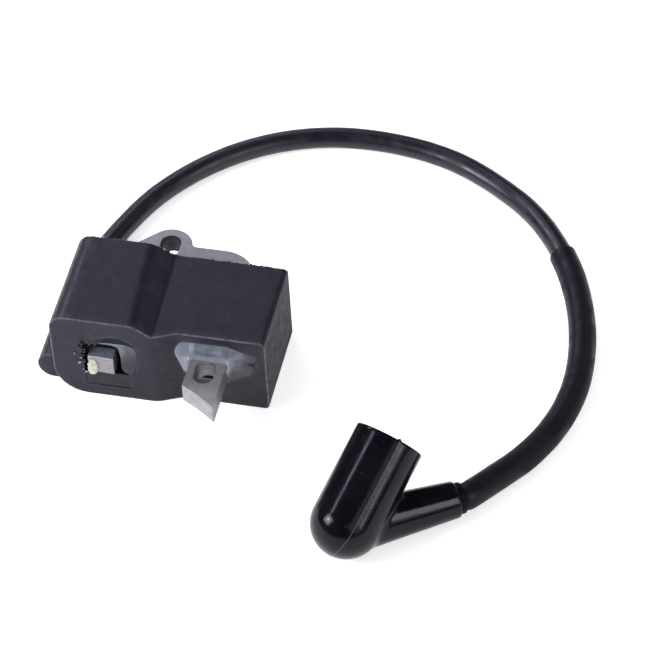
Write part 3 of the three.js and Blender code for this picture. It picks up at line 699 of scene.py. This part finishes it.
def make_ring():
    """The rounded ring that fills the gap between the boot's arm and the sleeve's end."""
    half = (SLEEVE_END - ARM_LENGTH) / 2 - RING_GAP
    side = np.cross(ARM_AXIS, (0, 0, 1.0))
    side /= np.linalg.norm(side)
    other = np.cross(side, ARM_AXIS)
    circle = [math.cos(a) * side + math.sin(a) * other for a in np.linspace(0, 2 * math.pi, 48, endpoint=False)]
    loops = []
    for angle in np.linspace(0, 2 * math.pi, 20, endpoint=False):
        c, s = math.cos(angle), math.sin(angle)
        r = RING_R - RING_TUBE_R + RING_TUBE_R * math.copysign(abs(c) ** 0.5, c)
        centre = on_arm(ARM_LENGTH + RING_GAP + half + half * math.copysign(abs(s) ** 0.4, s))
        loops.append([centre + r * v for v in circle])
    build = Build()
    rows = build.rings(loops)
    build.bridge(rows[-1], rows[0])
    gasket = finish_mesh("boot_end_ring", build, "ring_rubber")
    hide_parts("boot_ring")
    return gasket


free_route = smooth_route(ROUTE + [tuple(on_arm(SLEEVE_END + 1.5))])
lead_rng = np.random.default_rng(7)
lead, lead_line = make_lead(free_route, lead_rng)
sleeve = make_sleeve(free_route, lead_rng)
gasket = make_ring()

# ------ boot

BOOT_R, BOOT_LENGTH = 9.33, 24.4
ARM_ROOT_R, ARM_TAPER, ARM_BORE_R, ARM_BORE_START = 6.9, 2.0, 3.3, 2.0
SOCKET_R, SOCKET_START, MOUTH_FLARE = 5.6, 6.0, 1.2
CHAMBER_R, CHAMBER_START, CHAMBER_END = 4.4, -3.2, 8.0
RIB_HEIGHT, RIB_PITCH = 0.14, 3.2
SEAM_HEIGHT, SEAM_HALF = 0.09, 0.16
NIB_R = 0.42
SPRING_R, SPRING_WIRE_R, SPRING_PITCH, SPRING_TURNS, SPRING_START = 3.0, 0.4, 1.5, 5, -2.0


def smooth_union(a, b, k):
    h = np.clip(0.5 + 0.5 * (b - a) / k, 0, 1)
    return b + (a - b) * h - k * h * (1 - h)


def smooth_cut(a, b, k):
    """Where both a and b are inside, with a rounded edge of size k."""
    return -smooth_union(-a, -b, k)


def along_and_off(p, origin, axis):
    """How far points lie along an axis, and how far off it."""
    q = p - origin
    along = q @ axis
    return along, np.linalg.norm(q - along[..., None] * axis, axis=-1)


def boot_outside(p):
    q = p - ELBOW
    h, off = along_and_off(p, ELBOW, BODY_AXIS)
    seam = np.exp(-(q @ LINE_SIDE / SEAM_HALF) ** 2) * (q @ LINE_OUT > 0)
    shell = np.where(h < 0, np.hypot(off, h), off) - BOOT_R - SEAM_HEIGHT * seam
    nib = np.linalg.norm(q - BODY_AXIS * (BOOT_LENGTH + 0.05) - LINE_OUT * (BOOT_R - 0.5), axis=-1) - NIB_R
    body = smooth_union(smooth_cut(shell, h - BOOT_LENGTH, 0.55), nib, 0.3)
    g, away = along_and_off(p, ARM_ROOT, ARM_AXIS)
    arm = (away - (ARM_ROOT_R - ARM_TAPER * np.clip(g / ARM_LENGTH, 0, 1))) * 0.998
    arm = smooth_cut(smooth_cut(arm, g - ARM_LENGTH, 0.5), -g, 0.5)
    return smooth_union(body, arm, 1.1)


def boot_field(p):
    h, off = along_and_off(p, ELBOW, BODY_AXIS)
    flare = np.clip(h - (BOOT_LENGTH - MOUTH_FLARE), 0, 2) * 0.5
    wave = np.cos((h - BOOT_LENGTH) * 2 * math.pi / RIB_PITCH)
    ribs = RIB_HEIGHT * np.clip(wave, 0, 1) * (h > CHAMBER_END)
    socket = smooth_cut(off - SOCKET_R - flare + ribs, SOCKET_START - h, 0.6)
    chamber = smooth_cut(off - CHAMBER_R, CHAMBER_START - h, 0.6)
    hollow = np.minimum(socket, smooth_cut(chamber, h - CHAMBER_END, 0.2))
    g, away = along_and_off(p, ARM_ROOT, ARM_AXIS)
    hollow = np.minimum(hollow, smooth_cut(away - ARM_BORE_R, ARM_BORE_START - g, 0.3))
    return smooth_cut(boot_outside(p), -hollow, 0.45)


def make_boot():
    step = 0.45
    build = surface_net(boot_field, (51.0, -70.0, -1.5), (91.5, -29.0, 30.6), step)
    boot = finish_mesh("boot_shell", build, "boot_rubber", smooth=80, body="boot")
    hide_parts("boot")
    return boot


def make_spring():
    other = np.cross(LINE_SIDE, BODY_AXIS)
    points = []
    for turns in np.arange(SPRING_TURNS * 40 + 1) / 40:
        a = turns * 2 * math.pi
        out = math.cos(a) * LINE_SIDE + math.sin(a) * other
        points.append(ELBOW + BODY_AXIS * (SPRING_START + turns * SPRING_PITCH) + SPRING_R * out)
    build = round_bar(points, np.full(len(points), SPRING_WIRE_R), 10)
    spring = finish_mesh("spring_wire", build, "tinned_metal", body="boot")
    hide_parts("contact_spring")
    return spring


boot = make_boot()
spring = make_spring()

# ------ housing

LEFT_X, RIGHT_X = -26.0, 32.1
FRONT_Y, RIGHT_FRONT_Y, BACK_Y = -18.5, -15.7, 12.6
LEFT_TOP_Z, RIGHT_TOP_Z = 28.3, 25.1
VALLEY_X, STRIP_END_X = 2.0, 8.4
FRONT_EDGE_R, WALL, FRONT_WALL, POTTING_DEPTH = 0.42, 1.6, 1.8, 4.0
# Painted highlight with some wear on the front edge's middle bevel rows, and less on its first and last rows
EDGE_HIGHLIGHT, EDGE_START_HIGHLIGHT = 0.95, 0.1
CORNER_STEPS, WALL_RINGS, RIM_START, FLASH = 7, 14, 0.35, 0.11
POLE = (-16.0, -9.0, 9.4, 15.37)
LEG = (11.3, 21.2, 9.4, 15.37)
LEG_OPENING = [
    (9.6, 9.9, 3.0), (12.5, 8.6, 2.0), (20.5, 8.4, 3.0), (28, 12.9, 2.4),
    (29.7, 19.2, 0.7), (21.6, 22.3, 2.5), (9.2, 22.0, 2.4), (7.0, 19.0, 4.6),
]
LEG_OPENING_SPACING = [2, 6, 6, 4, 6, 10, 3, 6]
WINDOW = [(-17.3, 4.0, 0.2), (-5.2, 4.0, 0.2), (-5.2, 19.7, 1.2), (-17.3, 19.7, 0.8)]
WINDOW_SPACING = [24, 32, 24, 32]
# The shallow hollow about the pole, and the pool of resin at its right-hand end, as (x, z)
RECESS = [
    (-18.9, 4.2), (-17.4, 2.9), (-11.0, 2.8), (-5.2, 2.9), (-3.5, 4.6), (-3.2, 8.0), (-2.8, 12.1), (-2.15, 16.1),
    (-2.65, 19.9), (-5.3, 22.35), (-8.4, 23.1), (-13.1, 22.0), (-17.2, 20.9), (-18.9, 18.0), (-19.2, 11.0),
]
RECESS_DEPTH = 0.5
POOL = [
    (-4.2, 9.9), (-3.1, 12.3), (-2.55, 16.1), (-2.95, 19.2), (-4.8, 20.25), (-6.9, 20.45), (-8.6, 20.35),
    (-10.4, 20.35), (-12.4, 20.25), (-12.3, 20.0), (-10.3, 19.8), (-8.6, 19.5), (-7.6, 18.9), (-7.25, 17.0),
    (-7.1, 15.0), (-7.05, 12.0), (-6.6, 10.6), (-5.4, 9.8),
]
TOWER_R = 4.29
TOWER = [(-20.0, 0.0, 0.3), (-20.0, 8.6, 0.3), (-32.1, 8.6, TOWER_R), (-32.1, 0.0, TOWER_R)]
TOWER_SPACING = [6, 8, 1, 6]
TOWER_FRONT_Y, TOWER_BACK_Y, TOWER_EDGE_R = -14.3, 10.45, 0.3
# Rings of the lead's bore in the tower, as (radius, y, mark of painted edge highlight with some wear)
BORE = ((3.27, TOWER_BACK_Y, 0.5), (3.14, 10.3, 0.3), (3.12, 8.0, 0.0))
SECTION_SPACING = [28, 12, 24, 2, 9, 8]
# The housing's back rim, as (inset, y from the back, share of the ragged flash, mark of painted edge highlight with
# some wear)
RIM = ((0.12, -0.1, 1.0, 0.7), (0.45, -0.02, 1.0, 0.6), (1.3, -0.05, 0.5, 0.3))


def section_loop(share, inward=0.0):
    """The housing's outline in X and Z, anticlockwise, at a share of the way from front to back."""
    corners = [
        (LEFT_X, 0.0, 8.9),
        (RIGHT_X, 0.0, 1.3),
        (RIGHT_X, RIGHT_TOP_Z, 1.4),
        (VALLEY_X - 1.0 * share, RIGHT_TOP_Z, 2.0 + 1.5 * share),
        (-2.8 - 2.0 * share, LEFT_TOP_Z, 5.6 + 2.4 * share),
        (LEFT_X, LEFT_TOP_Z, 4.5),
    ]
    return rounded(inset(corners, inward) if inward else corners, CORNER_STEPS, SECTION_SPACING)


def front_y(x):
    """The front face: level on the left, a slanting strip, then level again further back."""
    slope = (RIGHT_FRONT_Y - FRONT_Y) / (STRIP_END_X - VALLEY_X)

    def above(value):
        return 0.5 * (value + np.sqrt(value ** 2 + 0.25))

    return FRONT_Y + slope * (above(x - VALLEY_X) - above(x - STRIP_END_X))


def dish(x, z):
    """How far the front face is sunk inside the recess: most at the upper right, nothing at the lower left."""
    return RECESS_DEPTH * smooth_step(x, -16.0, -9.5) * smooth_step(z, 9.0, 14.5)


def face_between(build, outer, holes, spacing, y_of, flip=False):
    """Fills the area between rings of a mesh. y_of gives y from arrays of x and z."""
    flats = [np.array([build.verts[i] for i in ring])[:, [0, 2]] for ring in [outer] + holes]
    grid, triangles = fill(flats[0], flats[1:], spacing)
    index = outer + [i for ring in holes for i in ring]
    index += build.add(standing(grid, y_of(grid[:, 0], grid[:, 1])))
    for a, b, c in triangles:
        build.faces.append((index[c], index[b], index[a]) if flip else (index[a], index[b], index[c]))


def housing_walls(build, rng):
    """Rings from the front edge, over the outside and the ragged back rim, and forwards again inside."""
    rows = []
    for step, (inward, back) in enumerate(quarter_round(5)):
        flat = section_loop(0.0, FRONT_EDGE_R * inward)
        front = front_y(flat[:, 0]) + FRONT_EDGE_R * back
        rows.append(build.add(standing(flat, front), EDGE_HIGHLIGHT if 0 < step < 4 else EDGE_START_HIGHLIGHT))
    for share in np.linspace(0, 1, WALL_RINGS + 1)[1:]:
        flat = section_loop(share)
        rows.append(build.add(standing(flat, front + (BACK_Y - RIM_START - front) * share)))
    rough = rng.normal(0, 1, (3, len(front)))
    top = smooth_step(flat[:, 1], 12, 23)
    ragged = np.clip(rough[0], -1.5, 1.5) * FLASH * top
    for k, (inward, y, share, mark) in enumerate(RIM):
        flash = np.minimum(ragged, 0.02) if k == 1 else ragged
        loop = standing(section_loop(1.0, inward), BACK_Y + y + share * flash)
        if k == 0:
            loop[:, 2] += rough[1] * 0.04 * top
        rows.append(build.add(loop, mark))
    flat = section_loop(1.0, WALL)
    rows += [build.add(standing(flat, BACK_Y - depth)) for depth in (0.3, 1.6, POTTING_DEPTH)]
    for share in (0.6, 0.3, 0.0):
        flat = section_loop(share, WALL)
        front = front_y(flat[:, 0])
        y = front + FRONT_WALL + (BACK_Y - POTTING_DEPTH - FRONT_WALL - front) * share
        rows.append(build.add(standing(flat, y)))
    build.join(rows)
    return rows


def front_hole(build, hole, lip, dished):
    """Rings of a hole through the front wall, from its rounded lip inwards."""
    rows = []
    for inward, back in quarter_round(4):
        flat = offset_loop(hole, -lip * inward)
        y = front_y(flat[:, 0]) + lip * back + dished * dish(flat[:, 0], flat[:, 1])
        rows.append(build.add(standing(flat, y), 0.2))
    rows.append(build.add(standing(hole, front_y(hole[:, 0]) + FRONT_WALL)))
    build.join(rows, flip=True)
    return rows


def recess_rim(build, rim):
    rows = []
    for inward, share, mark in ((0.0, 0.0, 0.25), (0.12, 0.5, 0.35), (0.4, 1.0, 0.0)):
        flat = offset_loop(rim, inward)
        depth = dish(flat[:, 0], flat[:, 1])
        rows.append(build.add(standing(flat, front_y(flat[:, 0]) + share * depth), mark * depth / RECESS_DEPTH))
    build.join(rows)
    return rows


def lead_tower(build):
    """The round tower at the housing's left foot, with the lead's bore in its back end."""

    def loop(inward, y):
        return standing(rounded(inset(TOWER, inward) if inward else TOWER, 8, TOWER_SPACING), y)

    rows = []
    for step, (inward, back) in enumerate(quarter_round(5)):
        ring = loop(TOWER_EDGE_R * inward + 0.001, TOWER_FRONT_Y + TOWER_EDGE_R * back)
        rows.append(build.add(ring, 0.9 if 0 < step < 4 else 0.1))
    rows += [build.add(loop(0.0, y)) for y in (-8.0, -2.0, 4.0, 10.0)]
    rows.append(build.add(loop(0.25, TOWER_BACK_Y), 0.6))
    build.join(rows)
    bore = []
    for r, y, mark in BORE:
        circle = np.array(arc_points(LEAD_X, LEAD_Z, r, 0, 360, 36)[:-1])
        bore.append(build.add(standing(circle, y), mark))
    build.join(bore)
    build.fan(bore[-1], (LEAD_X, BORE[-1][1], LEAD_Z))
    face_between(build, rows[0], [], 1.5, lambda x, z: TOWER_FRONT_Y)
    face_between(build, rows[-1], [bore[0]], 1.5, lambda x, z: TOWER_BACK_Y, flip=True)


def make_housing():
    build = Build()
    rng = np.random.default_rng(3)
    walls = housing_walls(build, rng)
    window = rounded(WINDOW, 5, WINDOW_SPACING)
    torn = smooth_step(window[:, 1], 9.0, 12.0)
    window += rng.normal(0, 1, window.shape) * np.array((0.14, 0.10)) * torn[:, None]
    window_rows = front_hole(build, window, 0.06, 1.0)
    leg_rows = front_hole(build, rounded(LEG_OPENING, 5, LEG_OPENING_SPACING), 0.28, 0.0)
    rim = closed_curve(RECESS, 130)
    rim_rows = recess_rim(build, rim)
    face_between(build, walls[0], [rim_rows[0], leg_rows[0]], 0.9, lambda x, z: front_y(x))
    face_between(build, rim_rows[-1], [window_rows[0]], 0.5, lambda x, z: front_y(x) + dish(x, z))
    inside = [window_rows[-1], leg_rows[-1]]
    face_between(build, walls[-1], inside, 3.0, lambda x, z: front_y(x) + FRONT_WALL, flip=True)
    lead_tower(build)
    housing = finish_mesh("housing_shell", build, "housing_plastic", smooth=40, weighted=True)

    # Painted light on the housing: the marks give a highlight with some wear along the edges, and shade gives
    # painted shade in the recess about the pole, on the right side face, in the window's crack and under the leg
    # opening's upper lip.
    x, y, z = np.array(build.verts).T
    sunk = y - front_y(x)
    hollow = inside_polygon(np.stack([x, z], 1), rim) & (sunk > 0.05) & (sunk < 1.0)
    shade = hollow * smooth_step(sunk, 0.05, RECESS_DEPTH) * 0.9
    shade[x > RIGHT_X - 0.02] = 0.65
    for ring in window_rows[1:]:
        shade[ring] = 1.0
    for ring in leg_rows[1:]:
        shade[ring] = smooth_step(z[ring], 16.5, 19.0)
    set_attribute(housing, "edge", build.marks)
    set_attribute(housing, "shade", shade)
    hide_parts("housing")


make_housing()

# ------ resin


def rectangle_distance(x, z, box):
    x0, x1, z0, z1 = box
    dx = np.maximum(np.maximum(x0 - x, x - x1), 0)
    dz = np.maximum(np.maximum(z0 - z, z - z1), 0)
    return np.hypot(dx, dz)


def make_leg_resin():
    outline = offset_loop(rounded(LEG_OPENING, 5, LEG_OPENING_SPACING), -0.05)
    x0, x1, z0, z1 = LEG
    hole = rounded([(x0, z0, 0.1), (x1, z0, 0.1), (x1, z1, 0.1), (x0, z1, 0.1)], 3, [24, 15, 24, 15])
    # Drops of resin on the bead, as (x, z, size, height)
    drops = ((11.6, 15.7, 0.5, 0.45), (17.7, 15.6, 0.45, 0.35), (21.4, 15.2, 0.5, 0.35), (20.3, 15.9, 0.45, 0.15))

    def front(x, z):
        """Sunk above the leg, and drawn up in a bead about it."""
        sunk = 0.02 + 1.05 * smooth_step(z, 13.8, 17.6) * smooth_step(x, 8.0, 11.5)
        sunk = sunk + 0.2 * smooth_step(x, 24.5, 28.5) * smooth_step(z, 14.5, 18.5)
        d = rectangle_distance(x, z, LEG)
        strength = smooth_step(z, 10.5, 13.0)
        over = smooth_step(z, 14.2, 15.2) * smooth_step(x, 10.9, 12.0) * (1 - smooth_step(x, 21.0, 21.8))
        bead = (0.2 + 0.85 * strength) * (1 - 0.9 * over) * np.exp(-((d - 0.2) / 0.7) ** 2)
        for at_x, at_z, size, height in drops:
            bead = bead + height * np.exp(-((x - at_x) ** 2 + (z - at_z) ** 2) / size ** 2)
        return front_y(x) + sunk - bead

    build = slab(outline, [hole], front, lambda x, z: RIGHT_FRONT_Y + FRONT_WALL, 0.4)
    resin = finish_mesh("leg_resin_pool", build, "clear_resin", smooth=50)
    x, _, z = np.array(build.verts).T
    # Paler towards the top and the far left, darker towards the bottom and the right, with a painted shadow along
    # the opening's upper lip and a painted highlight along the bead about the leg
    left = smooth_step(z, 9.0, 13.0) * (1 + 0.7 * (1 - smooth_step(x, 10.0, 13.0)))
    right = smooth_step(z, 11.0, 17.0) * (1 - 0.85 * smooth_step(x, 22.0, 28.5))
    edge = polygon_distance(np.stack([x, z], 1), outline)
    off_edge = smooth_step(edge, 0.25, 0.6 + 0.7 * smooth_step(x, 24.0, 28.0))
    painted_lip_shadow = smooth_step(z, 15.0, 18.0) * smooth_step(x, 8.5, 11.0) * (1 - off_edge)
    bead = np.exp(-((rectangle_distance(x, z, LEG) - 0.2) / 0.8) ** 2) * smooth_step(z, 11.0, 14.0)
    pale = 0.60 * np.where(x < 16, left, right) * (1 - painted_lip_shadow) + 0.6 * bead
    set_attribute(resin, "pale", np.clip(pale, 0, 1))
    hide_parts("leg_resin")


def make_pole_resin():
    outline = closed_curve(POOL, 120)

    def front(x, z):
        d = polygon_distance(np.stack([x, z], 1), outline)
        swell = 0.06 + 0.16 * (1 - np.exp(-d / 0.7))
        return front_y(x) + dish(x, z) - swell * smooth_step(z, 9.5, 12.0) - 0.01

    def back(x, z):
        return np.where(x < -5.4, FRONT_Y + 2.6, front_y(x) + dish(x, z) + 0.3)

    build = slab(outline, [], front, back, 0.35)
    lens = finish_mesh("pole_resin_lens", build, "clear_resin", "lens_resin", smooth=50)
    x, _, z = np.array(build.verts).T
    set_attribute(lens, "pale", smooth_step(z, 12.0, 20.5) * (0.40 + 0.45 * smooth_step(-x, 4.5, 8.0)))
    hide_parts("pole_resin")


def make_pole_film():
    """A thin wavy film of clear resin on top of the pole, up to the bobbin's end wall."""
    x0, x1, _, top = POLE
    rng = np.random.default_rng(23)
    build = Build()
    xs, ys = np.linspace(x0 + 0.15, x1 - 0.15, 34), np.linspace(-18.5, -15.5, 16)
    rough = np.abs(rng.normal(0, 1, (len(ys), len(xs))))
    rough = (rough + np.roll(rough, 1, 0) + np.roll(rough, 1, 1)) / 3
    rows = []
    for y, row in zip(ys, rough):
        z = top + 0.03 + 0.07 * row + 0.25 * smooth_step(y, -16.6, -15.5)
        rows.append(build.add([(x, y, h) for x, h in zip(xs, z)]))
    build.join(rows, closed=False)
    edge = rows[0] + [r[-1] for r in rows[1:]] + rows[-1][-2::-1] + [r[0] for r in rows[-2:0:-1]]
    low = build.add([(build.verts[i][0], build.verts[i][1], top - 0.03) for i in edge])
    build.bridge(low, edge)
    build.faces.append(tuple(reversed(low)))
    film = finish_mesh("pole_resin_film", build, "clear_resin", "lens_resin", smooth=60)
    set_attribute(film, "pale", np.full(len(build.verts), 0.9))


def make_torn_resin():
    """Black crumbs of resin along the left and upper edge of the window."""
    # As (x, z, size)
    spots = [
        (-17.1, 19.4, 0.6), (-17.9, 18.3, 0.45), (-17.3, 17.2, 0.6), (-17.9, 16.4, 0.35), (-17.2, 15.2, 0.55),
        (-17.8, 13.9, 0.5), (-17.2, 12.8, 0.5), (-18.2, 12.0, 0.6), (-17.4, 10.9, 0.55), (-17.6, 9.6, 0.45),
        (-16.9, 8.8, 0.6), (-19.6, 15.7, 0.45), (-15.2, 19.8, 0.45), (-13.7, 19.75, 0.3), (-16.8, 16.4, 0.4),
    ]
    rng = np.random.default_rng(19)
    crumbs = []
    for x, z, size in spots:
        turn, _ = np.linalg.qr(rng.normal(0, 1, (3, 3)))
        radii = size * np.array((1.5, 0.85, 0.5)) * rng.uniform(0.8, 1.15, 3)
        crumbs.append((np.array((x, FRONT_Y + 0.05 + 0.1 * rng.uniform(-1, 1), z)), turn, radii))
    slant = np.array(((0.7, 0.0, -0.71), (0.0, 1.0, 0.0), (0.71, 0.0, 0.7))).T
    crumbs.append((np.array((-18.9, FRONT_Y, 14.75)), slant, np.array((1.1, 0.12, 0.2))))

    def field(p):
        best = np.full(p.shape[:-1], 9.0)
        for centre, turn, radii in crumbs:
            q = (p - centre) @ turn / radii
            best = np.minimum(best, (np.linalg.norm(q, axis=-1) - 1) * radii.min())
        return best

    build = surface_net(field, (-20.4, -19.4, 7.9), (-13.0, -17.6, 20.5), 0.15)
    torn = finish_mesh("torn_resin_crumbs", build, "potting_resin", "torn_resin", smooth=40)
    x, y, z = np.array(build.verts).T
    # Painted glints: pale bands on the parts of the crumbs that stand in front of the face.
    light = np.sin(z * 2.6 + x * 1.3) * smooth_step(-y, 18.55, 18.8)
    set_attribute(torn, "pale", np.clip(light, 0, 1))


def make_edge_flecks():
    """Torn flash and pale flecks of potting resin along the top of the back edge."""
    rng = np.random.default_rng(29)
    top = section_loop(1.0)
    top = top[(top[:, 1] > 24.0) & (top[:, 0] > -23.0) & (top[:, 0] < 30.5)]
    build = Build()
    for _ in range(46):
        x, z = top[rng.integers(len(top))]
        size = rng.uniform(0.16, 0.42)
        turn, _ = np.linalg.qr(rng.normal(0, 1, (3, 3)))
        centre = np.array((x + rng.uniform(-0.4, 0.4), BACK_Y - 0.05 - 0.25 * rng.uniform(), min(z - 0.2, 27.95)))
        radii = size * np.array((1.6, 0.8, 0.6))
        light = 1.0 if rng.uniform() > 0.6 else 0.0
        ball = [
            [
                centre + turn @ (radii * (math.sin(a) * math.cos(b), math.sin(a) * math.sin(b), math.cos(a)))
                for b in np.linspace(0, 2 * math.pi, 7, endpoint=False)
            ]
            for a in (math.pi / 4, math.pi / 2, math.pi * 3 / 4)
        ]
        first = len(build.verts)
        rows = build.rings(ball)
        build.fan(rows[0], centre + turn @ (radii * (0, 0, 1)), flip=True)
        build.fan(rows[-1], centre + turn @ (radii * (0, 0, -1)))
        build.marks[first:] = [light] * (len(build.verts) - first)
    flecks = finish_mesh("edge_flash_flecks", build, "potting_resin", "torn_resin", smooth=30)
    set_attribute(flecks, "pale", build.marks)


make_leg_resin()
make_pole_resin()
make_pole_film()
make_torn_resin()
make_edge_flecks()

# ------ core and glue

FLYWHEEL = (-13.6, -74.1, 55.3)
LUG_SLOT, LEG_SLOT = (-4.3, 24.6), (16.1, -19.2)
SLOT_R, SLOT_HALF = 2.8, 4.0
LUG_X, LUG_Y, LUG_R = -4.3, 25.0, 6.1
YOKE_FRONT_Y, YOKE_BACK_Y, YOKE_END_X, YOKE_CORNER_R = 15.5, 25.5, 2.6, 10.0
PLATES, PLATE_PITCH, PLATE_BEVEL, PLATE_SHIFT = 6, 1.0, 0.07, 0.02


def flywheel_arc(x0, x1, steps):
    cx, cy, r = FLYWHEEL
    return [(x, cy + math.sqrt(r * r - (x - cx) ** 2)) for x in np.linspace(x0, x1, steps + 1)]


def slot_loop(x, y):
    s = SLOT_HALF - SLOT_R
    return arc_points(x, y + s, SLOT_R, 0, 180, 20) + arc_points(x, y - s, SLOT_R, 180, 360, 20)


def make_core():
    """The stack of plates: the pole, the yoke with its lug, and the leg, over the flywheel's arc."""
    lug_slope_y = LUG_Y + LUG_R * math.sqrt(2) - (LUG_X - POLE[0])
    corner = (LEG[1] - YOKE_CORNER_R, YOKE_BACK_Y - YOKE_CORNER_R)
    outer = flywheel_arc(POLE[0], POLE[1], 6) + [(POLE[1], YOKE_FRONT_Y), (LEG[0], YOKE_FRONT_Y)]
    outer += flywheel_arc(LEG[0], LEG[1], 10) + arc_points(*corner, YOKE_CORNER_R, 0, 90, 24)
    outer += [(YOKE_END_X, YOKE_BACK_Y)]
    outer += arc_points(LUG_X, LUG_Y, LUG_R, 10, 135, 30) + [(POLE[0], lug_slope_y)]
    holes = [slot_loop(*LUG_SLOT), slot_loop(*LEG_SLOT)]
    rng = np.random.default_rng(11)
    for i in range(PLATES):
        low = POLE[2] + i * PLATE_PITCH
        build = plate(outer, holes, low, low + (0.97 if i == PLATES - 1 else 0.985), PLATE_BEVEL)
        verts = np.array(build.verts)
        x, y, _ = verts.T
        shade = np.zeros(len(verts))
        # Darker slot walls, more in the lug's slot; painted shade on the leg's right side face; a stain on the
        # pole's front face.
        for (cx, cy), tone in ((LUG_SLOT, 0.9), (LEG_SLOT, 0.4)):
            along = np.maximum(abs(y - cy) - (SLOT_HALF - SLOT_R), 0)
            shade[np.hypot(x - cx, along) < SLOT_R + 0.04] = tone
        shade[(x > LEG[1] - 0.04) & (y < 10)] = 0.3
        shade[(x < 0) & (y < -18)] = 0.22
        verts[:, :2] += rng.normal(0, PLATE_SHIFT, 2)
        build.verts = verts
        piece = finish_mesh(f"core_plate_{i + 1}", build, "lamination_steel", weighted=True)
        set_attribute(piece, "shade", shade)
        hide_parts(f"core_lamination_{i + 1}")


def make_glue():
    def ball(p, centre, radii):
        return np.linalg.norm((p - centre) / radii, axis=-1) - 1

    def field(p):
        blob = ball(p, (-14.75, -18.95, 11.5), (1.4, 0.55, 2.7))
        low = ball(p, (-15.1, -18.95, 9.9), (1.05, 0.65, 1.25))
        x, z = p[..., 0], p[..., 2]
        lumps = 0.13 * np.sin(2.9 * z + 1.3 * x) * np.sin(3.7 * x - 1.9 * z)
        return (smooth_union(blob, low, 0.6) + lumps) * 0.7

    build = surface_net(field, (-17.0, -20.2, 7.5), (-12.8, -17.6, 15.6), 0.2)
    glue = finish_mesh("glue_blob", build, "glue", smooth=80)
    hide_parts("glue_dab")


make_core()
make_glue()
dress_cad_nodes()

# ------ floor and light

FLOOR_HALF = 3.0
AIM = Vector((0.04, 0.0, 0.01))
WORLD_STRENGTH, FLOOR_GLOW = 0.065, 0.50
COOL, BLUE, PALE_BLUE, WARM = (0.97, 0.97, 1.0), (0.75, 0.80, 1.0), (0.86, 0.88, 1.0), (1.0, 0.99, 0.98)
# Soft panels in metres and watts, as (name, azimuth, elevation, distance, width, height, power, colour).
# Azimuth 0 is in front of the object and 90 on its right.
PANELS = [
    ("key_panel", -61, 32, 1.1, 0.50, 0.48, 9.0, COOL),
    ("key_core", -61, 33, 1.09, 0.14, 0.14, 2.2, COOL),
    ("left_strip", -79, 49.5, 1.2, 0.15, 0.14, 0.9, BLUE),
    ("back_strip", -160, 36, 1.2, 0.10, 0.85, 1.2, PALE_BLUE),
    ("back_corner", -127, 38, 1.15, 0.66, 0.15, 5.8, PALE_BLUE),
    ("flank_panel", 141, 32, 1.2, 0.60, 0.60, 1.2, (0.92, 0.93, 1.0)),
    ("side_panel", 54, 27, 1.3, 1.35, 0.85, 5.0, WARM),
    ("side_core", 65, 31, 1.28, 0.28, 0.70, 4.6, WARM),
    ("overhead_fill", -20, 80, 1.6, 2.0, 2.0, 8, (0.98, 0.98, 1.0)),
]


def make_floor():
    mesh = bpy.data.meshes.new("floor")
    corners = [(-1, -1), (1, -1), (1, 1), (-1, 1)]
    mesh.from_pydata([(x * FLOOR_HALF, y * FLOOR_HALF, 0) for x, y in corners], [], [(0, 1, 2, 3)])
    floor = bpy.data.objects.new("floor", mesh)
    bpy.context.scene.collection.objects.link(floor)
    s = Surface("floor_paper", 0.6, Emission_Color=(1.0, 1.0, 1.0, 1.0), Emission_Strength=FLOOR_GLOW)
    s.colour(s.mix(s.noise(300.0), (0.94, 0.94, 0.94), (0.96, 0.96, 0.96)))
    mesh.materials.append(s.material)


def area_light(name, azimuth, elevation, distance, width, height, power, colour):
    data = bpy.data.lights.new(name, "AREA")
    data.shape = "RECTANGLE"
    data.size, data.size_y = width, height
    data.energy = power
    data.color = colour
    light = bpy.data.objects.new(name, data)
    bpy.context.scene.collection.objects.link(light)
    a, e = math.radians(azimuth), math.radians(elevation)
    away = Vector((math.sin(a) * math.cos(e), -math.cos(a) * math.cos(e), math.sin(e)))
    light.location = AIM + away * distance
    light.rotation_mode = "QUATERNION"
    light.rotation_quaternion = away.to_track_quat("Z", "Y")
    return light


def make_light():
    world = bpy.data.worlds.new("studio")
    bpy.context.scene.world = world
    world.use_nodes = True
    background = world.node_tree.nodes["Background"]
    background.inputs["Color"].default_value = (0.85, 0.88, 1.0, 1.0)
    background.inputs["Strength"].default_value = WORLD_STRENGTH
    lights = {panel[0]: area_light(*panel) for panel in PANELS}
    lights["overhead_fill"].visible_glossy = False


make_floor()
make_light()
bpy.context.scene.view_settings.view_transform = "Standard"

bpy.context.view_layer.update()
